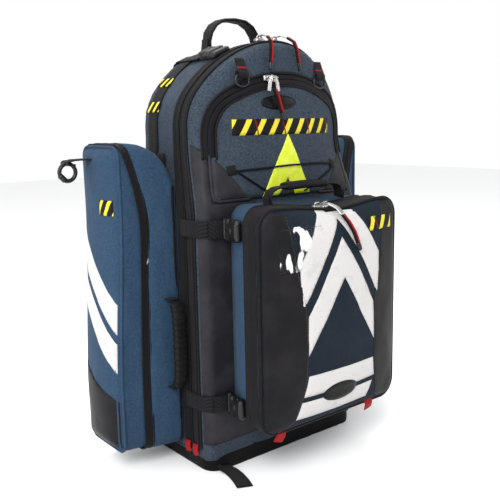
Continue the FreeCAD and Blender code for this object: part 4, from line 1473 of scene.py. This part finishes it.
red_finish = Finish("red_webbing", 0.5)
nap = red_finish.grain(1.2, 2.0)
red_finish.colour(red_finish.blend(nap, linear((176, 18, 26)), linear((232, 44, 48))))
red_finish.relief(nap, 0.3)
red = red_finish.material
tabs, tacks = [], []
for sign, word in ((-1, "left"), (1, "right")):
    x = sign * 84.0
    at = settle((x, -100.0, 590.0))
    loop = [(math.cos(t) * 12.2, -8.3 + math.copysign(abs(math.sin(t)) ** 0.8, math.sin(t)) * 8.6)
            for t in np.linspace(0, 2 * math.pi, 33)[:-1]]
    ring = loft(f"{word}_lash_ring", [(at.x + a, at.y - 1.2, 594.8 + b) for a, b in loop], lambda k, p,
                way: (0, -1, 0),
                ring_section(1.9), looped=True)
    dress(ring, black_plastic, "black_plastic", f"{word}_ring", f"{word}_d_ring")
    fold = evenly([(at.x, at.y + 6, 618), (at.x, at.y + 3.2, 611), (at.x, at.y - 1.0, 602),
                   (at.x, at.y - 4.6, 596.5),
                   (at.x, at.y - 4.4, 592.2), (at.x, at.y - 0.6, 590.6), (at.x, at.y + 2.6, 593.5),
                   (at.x, at.y + 3.4, 600)], 2, closed=False)
    tabs.append(loft("tab", fold, lambda k, p, way: way.cross(Vector((1, 0, 0))), strap_section(18, 1.5)))
    tack = evenly([(at.x - 8.5, at.y - 0.6, 604.5), (at.x + 8.5, at.y - 0.6, 604.5)], 3, closed=False)
    tacks.append(loft("tack", tack, lambda k, p, way: (0, -1, 0.3), strap_section(2.4, 1.4)))
tab_pair = join_pieces("lash_ring_tabs", tabs)
dress(tab_pair, webbing, "black_webbing", "main_lid", "ring_tabs")
dress(join_pieces("lash_ring_tacks", tacks), red, "red_cord", "main_lid")

hook_line = [(-288.5 + 12.5 * math.sin(t), 55.0, 460 + 12.5 * math.cos(t)) for t in np.linspace(0,
                                                                                                2 * math.pi,
                                                                                                41)[:-1]]
hook = loft("snap_hook_ring", hook_line, lambda k, p, way: (0, -1, 0), ring_section(3.2), looped=True)
latch = loft("latch", evenly([(-300.5, 55, 456), (-293, 55, 448.4)], 2, False), lambda k, p, way: (0, -1, 0),
             ring_section(4.4))
hook_set = join_pieces("snap_hook_with_latch", [hook, latch])
dress(hook_set, black_plastic, "black_plastic", "hook", "snap_hook")
strip = evenly([(-243, 55, 476.5), (-262, 55, 477.5), (-280, 55, 477), (-290, 55, 476.5), (-293.5, 55, 473.5),
                (-290.5, 55, 470.3), (-280, 55, 470.5)], 2, closed=False)
hook_tab = loft("snap_hook_webbing", strip, lambda k, p, way: (0, 0,
                                                               1) if k < 20 else way.cross(Vector((0, 1, 0))),
                [(a, b - 0.8) for a, b in strap_section(24, 2.2)])
dress(hook_tab, webbing, "black_webbing", "left_pouch_lid", "snap_hook_tab")

ends = []
for x, z, lean in ((-100, 86, -3), (80, 86, 2)):
    y = pouch_face(x, 92, 4)[1] + 7
    line = evenly([(x, y, z + 6), (x + lean, y - 1, z - 4), (x + lean * 2, y + 3, z - 13)], 2, closed=False)
    ends.append(loft("end", line, lambda k, p, way: (0, -1, 0), strap_section(17, 2.2)))
dress(join_pieces("pouch_red_ends", ends), red, "red_cord", "front_pouch_lid")
ends = []
for sign in (-1, 1):
    for y in (-66, -46):
        line = evenly([(sign * 161.8, y, 42), (sign * 163.5, y - 1, 34), (sign * 163, y - 3, 25)], 2,
                      closed=False)
        ends.append(loft("end", line, lambda k, p, way, s=sign: (s, 0, 0), strap_section(13, 2.0)))
dress(join_pieces("zip_red_ends_lid", ends[0::2]), red, "red_cord", "main_lid")
dress(join_pieces("zip_red_ends_body", ends[1::2]), red, "red_cord", "pack")


# Zip sliders and pulls. Die-cast sliders run on the coils; each carries a stamped pull, and the pulls of the
# main, flap and front pouch zips have a cord of black and red braid, knotted in a moulded end.

metal_finish = Finish("zip_nickel", 0.28, Metallic=1.0)
tarnish = metal_finish.grain(6.0, 3.0)
metal_finish.colour(metal_finish.blend(tarnish, (0.24, 0.235, 0.23), (0.52, 0.51, 0.50)))
metal_finish.drive("Roughness", tarnish * 0.25 + 0.2)
metal_finish.relief(tarnish, 0.15)
nickel = metal_finish.material


def slider(name, at, along, up, size=1.0):
    """A slider's body: a shield over the coil, with a bridge that holds the pull. It runs toward along."""
    along, up = Vector(along).normalized(), Vector(up).normalized()
    across = along.cross(up)

    def put(u, v, h):
        return at + along * u * size + across * v * size + up * h * size
    body = moulding("body", [(-6.5, -3.2), (-2, -4.4), (3, -5.6), (6.5, -4.6), (6.5, 4.6), (3, 5.6), (-2, 4.4),
                             (-6.5, 3.2)], put, 5.0, 1.6, 2.0)
    arch = evenly([tuple(put(-4.5, 0, 4.4)), tuple(put(-3, 0, 7.6)), tuple(put(2.5, 0, 7.8)),
                   tuple(put(5, 0, 4.4))],
                  1.5, closed=False)
    bridge = loft("bridge", arch, lambda k, p, way: way.cross(across), ring_section(1.2 * size, 6))
    return join_pieces(name, [body, bridge])


def pull_tab(name, line, normals, width=6.5, thick=1.8):
    """A stamped metal pull: a narrow neck that widens into a plate with a slot for its cord."""
    def waist(k, share):
        return 0.55 + 0.45 * ease(share - 0.15, 0.35), 1.0
    return loft(name, evenly(line, 2, False), normals, strap_section(width, thick), vary=waist)


def pull_cords(name, line, spread, normals, radius=1.7):
    """Two braided cords side by side, one black and one red, in a moulded end."""
    sides = []
    for k, shift in enumerate((-spread, spread)):
        moved = [(p[0] + shift, p[1], p[2]) for p in line]
        cord = loft(f"{name}_{'black' if k == 0 else 'red'}", evenly(moved, 2, False), normals,
                    ring_section(radius))
        sides.append(cord)
    tip = [line[-1], tuple(Vector(line[-1]) + (Vector(line[-1]) - Vector(line[-2])).normalized() * 12)]
    end = loft("end", evenly(tip, 2, False), normals, ring_section(radius * 2.1),
               vary=lambda k, share: (0.75 + 0.25 * math.sin(math.pi * share), 0.7))
    return sides[0], sides[1], end


FORWARD = (lambda k, p, way: (0, -1, 0.25))
for x, word in ((-20, "left"), (12, "right")):
    at = settle((x, -61.5, HEIGHT + 1.4))
    body = slider(f"main_slider_{word}", at, (1 if x < 0 else -1, 0, 0), (0, -0.15, 1), 1.15)
    dress(body, nickel, "zip_metal", f"main_slider_{word}", f"main_zip_slider_{word}")
    drift = -6 if x < 0 else 8
    neck = [(x, -64, 654), (x + drift * 0.3, -74, 654.5), (x + drift * 0.6, -88, 651.5)]
    plate = pull_tab(f"main_pull_plate_{word}", neck, lambda k, p, way: (0, -0.2, 1))
    dress(plate, nickel, "zip_metal", f"main_pull_{word}", f"main_zip_pull_{word}")
    line = [neck[-1], (x + drift, -98, 645), (x + drift * 1.3, -101.5, 634), (x + drift * 1.7, -102.5, 614)]
    black_cord, red_braid, end = pull_cords(f"main_pull_cord_{word}", line, 1.8, FORWARD)
    end.name = f"main_pull_end_{word}"
    dress(black_cord, elastic, "elastic_cord", f"main_pull_{word}")
    dress(red_braid, red, "red_cord", f"main_pull_{word}")
    dress(end, black_plastic, "black_plastic", f"main_pull_{word}")

FLAP_PULL_X = -34
at = settle((FLAP_PULL_X, -101.5, 589.5))
body = join_pieces("flap_slider_pair", [slider("s", at + Vector((7, 0, 0)), (-1, 0, 0), (0, -1, 0.25)),
                                        slider("s", at - Vector((7, 0, 0)), (1, 0, 0), (0, -1, 0.25))])
dress(body, nickel, "zip_metal", "flap_slider", "flap_zip_slider")
plates = []
for drift in (-4, 5):
    plates.append(pull_tab("p", [(FLAP_PULL_X + drift, -108.6, 593), (FLAP_PULL_X + drift * 1.5, -110.5, 584),
                                 (FLAP_PULL_X + drift * 2, -110.4, 571)],
                           lambda k, p, way: (0, -1, 0)))
dress(join_pieces("flap_pull_plates", plates), nickel, "zip_metal", "flap_pull", "flap_zip_pull")
line = [(-30, -110.6, 574), (-26, -111.2, 564), (-22, -111.4, 552), (-17, -111.0, 540)]
black_cord, red_braid, end = pull_cords("flap_pull_cord", line, 2.6, FORWARD)
end.name = "flap_pull_end"
dress(black_cord, elastic, "elastic_cord", "flap_pull")
dress(red_braid, red, "red_cord", "flap_pull")
dress(end, black_plastic, "black_plastic", "flap_pull")

top_of_pouch = pouch_ring(POUCH_SEAM_Y, 0, POUCH_TOP)[2]
at = Vector((-4, POUCH_SEAM_Y - 9, top_of_pouch + 1.8))
body = join_pieces("pouch_slider_pair", [slider("s", at + Vector((8, 0, 0)), (-1, 0, 0), (0, -0.3, 1), 1.15),
                                         slider("s", at - Vector((8, 0, 0)), (1, 0, 0), (0, -0.3, 1), 1.15)])
dress(body, nickel, "zip_metal", "front_slider", "front_zip_slider")
neck = [(-3, POUCH_SEAM_Y - 12, top_of_pouch + 9), (-1, -192, top_of_pouch + 8), (3, -205, top_of_pouch + 3),
        (6, -214, top_of_pouch - 6)]
plate = pull_tab("pouch_pull_plate", neck, lambda k, p, way: (0, -0.7, 0.7), 8.5, 2.0)
dress(plate, nickel, "zip_metal", "front_pull", "front_zip_pull")
line = [(6, -214, top_of_pouch - 6), (10, -222.5, 382), (17, -226.5, 368), (24, -227.0, 352)]
black_cord, red_braid, end = pull_cords("pouch_pull_cord", line, 2.0, FORWARD, 2.0)
end.name = "pouch_pull_end"
dress(black_cord, elastic, "elastic_cord", "front_pull")
dress(red_braid, red, "red_cord", "front_pull")
dress(end, black_plastic, "black_plastic", "front_pull")

for sign, word in ((-1, "left"), (1, "right")):
    spot = case_wall(1.0, 0.0, 0.0)(8, 300, 0, 0)
    at = mirror(spot + Vector((0, -1.5, 0)), sign)
    body = slider("s", at, (0, 0, -1), (0, -1, 0), 1.1)
    hang = pull_tab("p", [tuple(at + Vector((0, -7.5, 2))), tuple(at + Vector((0, -8.5, -8))),
                          tuple(at + Vector((0, -6.5, -24)))], lambda k, p, way: (0, -1, 0))
    dress(join_pieces(f"{word}_case_slider", [body, hang]), nickel, "zip_metal", f"{word}_pouch_slider",
          f"{word}_pouch_zip_slider")


# Frame board. A stiff plastic sheet in a sleeve behind the back panel keeps the pack's shape.

sheet_plastic = Finish("frame_board", 0.5)
mottle = sheet_plastic.grain(3.0, 3.0)
sheet_plastic.colour(sheet_plastic.blend(mottle, linear((28, 29, 31)), linear((44, 45, 48))))
sheet_plastic.relief(mottle, 0.15)


# Harness pads. Foam under black spacer mesh: a back panel with an air channel, a lumbar pad, two curved
# shoulder straps and two hip wings. Each cover is sewn round its edge, and the foam swells inside it.

spacer = Finish("spacer_mesh", 0.8, Sheen_Weight=0.12)
cell_row = (spacer.x * (2 * math.pi / 3.4)).wave() * ((spacer.z + spacer.y * 0.5) * (2 * math.pi / 4.2)).wave()
hole_painted_shade = (cell_row * 0.5 + 0.5).step(0.45, 0.8)
worn = spacer.grain(35.0, 3.0)
# The mesh's holes are painted near black: painted shade in its hollows.
spacer.colour(spacer.blend(hole_painted_shade, spacer.blend(worn, linear((40, 40, 43)), linear((66, 66, 70))),
                           linear((14, 14, 15))))
spacer.drive("Roughness", worn * 0.2 + 0.65)
spacer.relief(1 - hole_painted_shade, 0.7)
spacer_mesh = spacer.material


def applied(piece):
    """Make the piece's shown shape its own, and drop the modifiers that made it."""
    graph = bpy.context.evaluated_depsgraph_get()
    graph.update()
    shown = bpy.data.meshes.new_from_object(piece.evaluated_get(graph))
    piece.modifiers.clear()
    piece.data = shown
    return piece


def fill_pad(piece, reach, voxel=6.0, pressure=4.0):
    """Blow the foam up inside its sewn cover; no point moves by more than reach millimetres."""
    grid = piece.modifiers.new("cover_grid", "REMESH")
    grid.mode = "VOXEL"
    grid.voxel_size = voxel * MM
    applied(piece)
    sewn = [v.co.copy() for v in piece.data.vertices]
    cover = piece.modifiers.new("foam_pressure", "CLOTH")
    cover.settings.use_pressure = True
    cover.settings.uniform_pressure_force = pressure
    cover.settings.effector_weights.gravity = 0
    cover.collision_settings.use_collision = False
    cover.point_cache.frame_start, cover.point_cache.frame_end = 1, 20
    for moment in range(1, 21):
        bpy.context.scene.frame_set(moment)
    applied(piece)
    bpy.context.scene.frame_set(1)
    for vert, was in zip(piece.data.vertices, sewn):
        move = vert.co - was
        far = move.length / MM
        if far > 1e-6:
            vert.co = was + move * (reach * (1 - math.exp(-far / reach)) / far)
    finer = piece.modifiers.new("finer_cover", "SUBSURF")
    finer.levels = 1
    applied(piece)
    piece.data.shade_smooth()
    return piece


def quilt(piece, seams, depth, width=4.0):
    """Press sewn channels into the wearer's side of a pad; seams(x, y, z) gives the distance to the nearest."""
    for vert in piece.data.vertices:
        if vert.normal.y > 0.3:
            x, y, z = vert.co / MM
            vert.co.y -= depth * MM * math.exp(-(seams(x, y, z) / width) ** 2)
    return piece


def slab(name, outline, y0, y1):
    """A closed block cut to an outline in the pack's upright plane."""
    bm = bmesh.new()
    front = [bm.verts.new((u, y0, v)) for u, v in outline]
    back = [bm.verts.new((u, y1, v)) for u, v in outline]
    bm.faces.new(front)
    bm.faces.new(back[::-1])
    for k in range(len(front)):
        j = (k + 1) % len(front)
        bm.faces.new((front[k], front[j], back[j], back[k]))
    return new_piece(name, bm)


def lay_out(piece, put):
    for vert in piece.data.vertices:
        vert.co = Vector(put(*(vert.co / MM))) * MM
    return piece


def edge_binding(name, outline, y, radius=2.0):
    """A bound edge of folded tape round a pad."""
    line = evenly(outline, 4)
    return loft(name, [settle((u, y, v)) for u, v in line], lambda k, p, way: (0, 1, 0), ring_section(radius),
                looped=True)


board = slab("frame_board", arched(139, 30, 505, 622, 78), 65.0, 67.2)
lay_out(board, lambda x, y, z: settle((x, y, z)))
dress(board, sheet_plastic.material, "black_plastic", "pack", "frame_sheet")

back = fill_pad(slab("back_pad", arched(141, 45, 508, 617, 72), 77.0, 84.5), 4.0, 6.5)
AIR_CHANNEL, CROSS_SEAMS, FAR_OFF = 34, (470, 335, 200), 99


def back_seams(x, y, z):
    """How far a point of the back pad is from the air channel's edges and from the cross seams beside it."""
    beside = [abs(z - seam) for seam in CROSS_SEAMS] if abs(x) > AIR_CHANNEL else [FAR_OFF]
    return min(abs(abs(x) - AIR_CHANNEL), *beside)


quilt(back, back_seams, 4.0)
lay_out(back, lambda x, y, z: settle((x, max(y, 74.6), z)))
dress(back, spacer_mesh, "padded_mesh", "pack", "back_panel")
back_edge = edge_binding("back_pad_binding", arched(144.5, 41.5, 510, 620.5, 73), 77.0, 2.4)
dress(back_edge, piping, "black_webbing", "pack")

lumbar = fill_pad(slab("lumbar_cushion", round_box(-116, 116, 64, 176, 22), 91.5, 97.5), 4.0, 5.0)
quilt(lumbar, lambda x, y, z: min(abs(abs(x) - 30), abs(z - 120) if abs(x) > 30 else FAR_OFF), 3.5)
dress(lumbar, spacer_mesh, "padded_mesh", "pack", "lumbar_pad")
lumbar_edge = edge_binding("lumbar_binding", round_box(-118.5, 118.5, 61.5, 178.5, 23), 92.5, 2.0)
dress(lumbar_edge, piping, "black_webbing", "pack")

STRAP_X = 80
STRAP_LINE = [(95.5, 583), (106, 565), (117.5, 535), (126, 490), (131, 430), (127, 370), (117.5, 312),
              (106, 262),
              (97.5, 222)]
for sign, word in ((-1, "left"), (1, "right")):
    spine = evenly([(sign * STRAP_X, y, z) for y, z in STRAP_LINE], 8, closed=False)
    pad = loft("shoulder_pad_" + word, spine, lambda k, p, way: (0, 1, 0),
               [(-27, -3.4), (27, -3.4), (27, 3.4), (-27, 3.4)],
               vary=lambda k, share: (0.80 + 0.20 * ease(min(share * 1.2, (1 - share) * 1.6), 0.4), 1.0),
               smooth=False)
    fill_pad(pad, 3.6, 5.0)
    quilt(pad, lambda x, y, z: abs(abs(abs(x) - STRAP_X) - 17), 2.2, 3.0)
    dress(pad, spacer_mesh, "padded_mesh", f"{word}_shoulder", f"{word}_shoulder_strap")
    run = evenly([(sign * STRAP_X, y + 6.4, z) for y, z in STRAP_LINE[1:]], 5, closed=False)
    run += [(sign * STRAP_X, 98, 210), (sign * STRAP_X, 94, 196)]
    facing = loft("shoulder_webbing_" + word, run, lambda k, p, way: (0, 1, 0), strap_section(WEBBING, 1.6))
    dress(facing, webbing, "black_webbing", f"{word}_shoulder")
    lock = moulding("strap_ladder_lock_" + word, round_box(-17, 17, -11, 11, 3, 2),
                    lambda u, v, h, s=sign: (s * STRAP_X + u, 101.5 + h + v * 0.2, 208 + v), 4.5)
    dress(lock, black_plastic, "black_plastic", f"{word}_shoulder")

    wing = fill_pad(slab("hip_pad_" + word, [(sign * u, v) for u, v in round_box(13, 119, 83, 157, 20)],
                         107.6, 113.6),
                    3.6, 4.5)
    quilt(wing, lambda x, y, z: min(abs(z - 100), abs(z - 140)), 2.4, 3.0)
    dress(wing, spacer_mesh, "padded_mesh", f"{word}_hip", f"{word}_hip_wing")
    belt = loft("hip_webbing_" + word, evenly([(sign * 118, 116.4, 120), (sign * 60, 117.4, 120),
                                               (sign * 14, 116.6, 120)],
                                              5, closed=False), lambda k, p, way: (0, 1, 0),
                strap_section(38, 1.6))
    dress(belt, webbing, "black_webbing", f"{word}_hip")
    clip = moulding("hip_buckle_" + word, [(sign * u, v) for u, v in round_box(14, 44, -21, 21, 6, 2)],
                    lambda u, v, h: (u, 118.2 + h, 120 + v), 6.0)
    dress(clip, black_plastic, "black_plastic", f"{word}_hip")

chest = loft("chest_webbing", evenly([(-55, 126.6, 480), (-20, 125.6, 480), (20, 125.6, 480),
                                      (47, 126.2, 480)], 4, closed=False),
             lambda k, p, way: (0, 1, 0), strap_section(19, 1.6))
dress(chest, webbing, "black_webbing", "left_shoulder", "sternum_strap")
chest_clip = moulding("chest_buckle", round_box(-19, 19, 468.5, 491.5, 5, 2),
                      lambda u, v, h: (u, 126.8 + h, v), 6.5)
dress(chest_clip, black_plastic, "black_plastic", "left_shoulder")


# Studio floor: a plain pale sheet that isn't part of the pack.

floor_build = bmesh.new()
bmesh.ops.create_grid(floor_build, x_segments=8, y_segments=8, size=6000.0)
for vert in floor_build.verts:
    vert.co.z = -0.3
floor = new_piece("studio_floor", floor_build)
pale = Finish("pale_floor", 0.75)
patchy = pale.grain(400.0, 3.0)
pale.colour(pale.blend(patchy, (0.88, 0.885, 0.89), (0.9, 0.9, 0.9)))
floor.data.materials.append(pale.material)
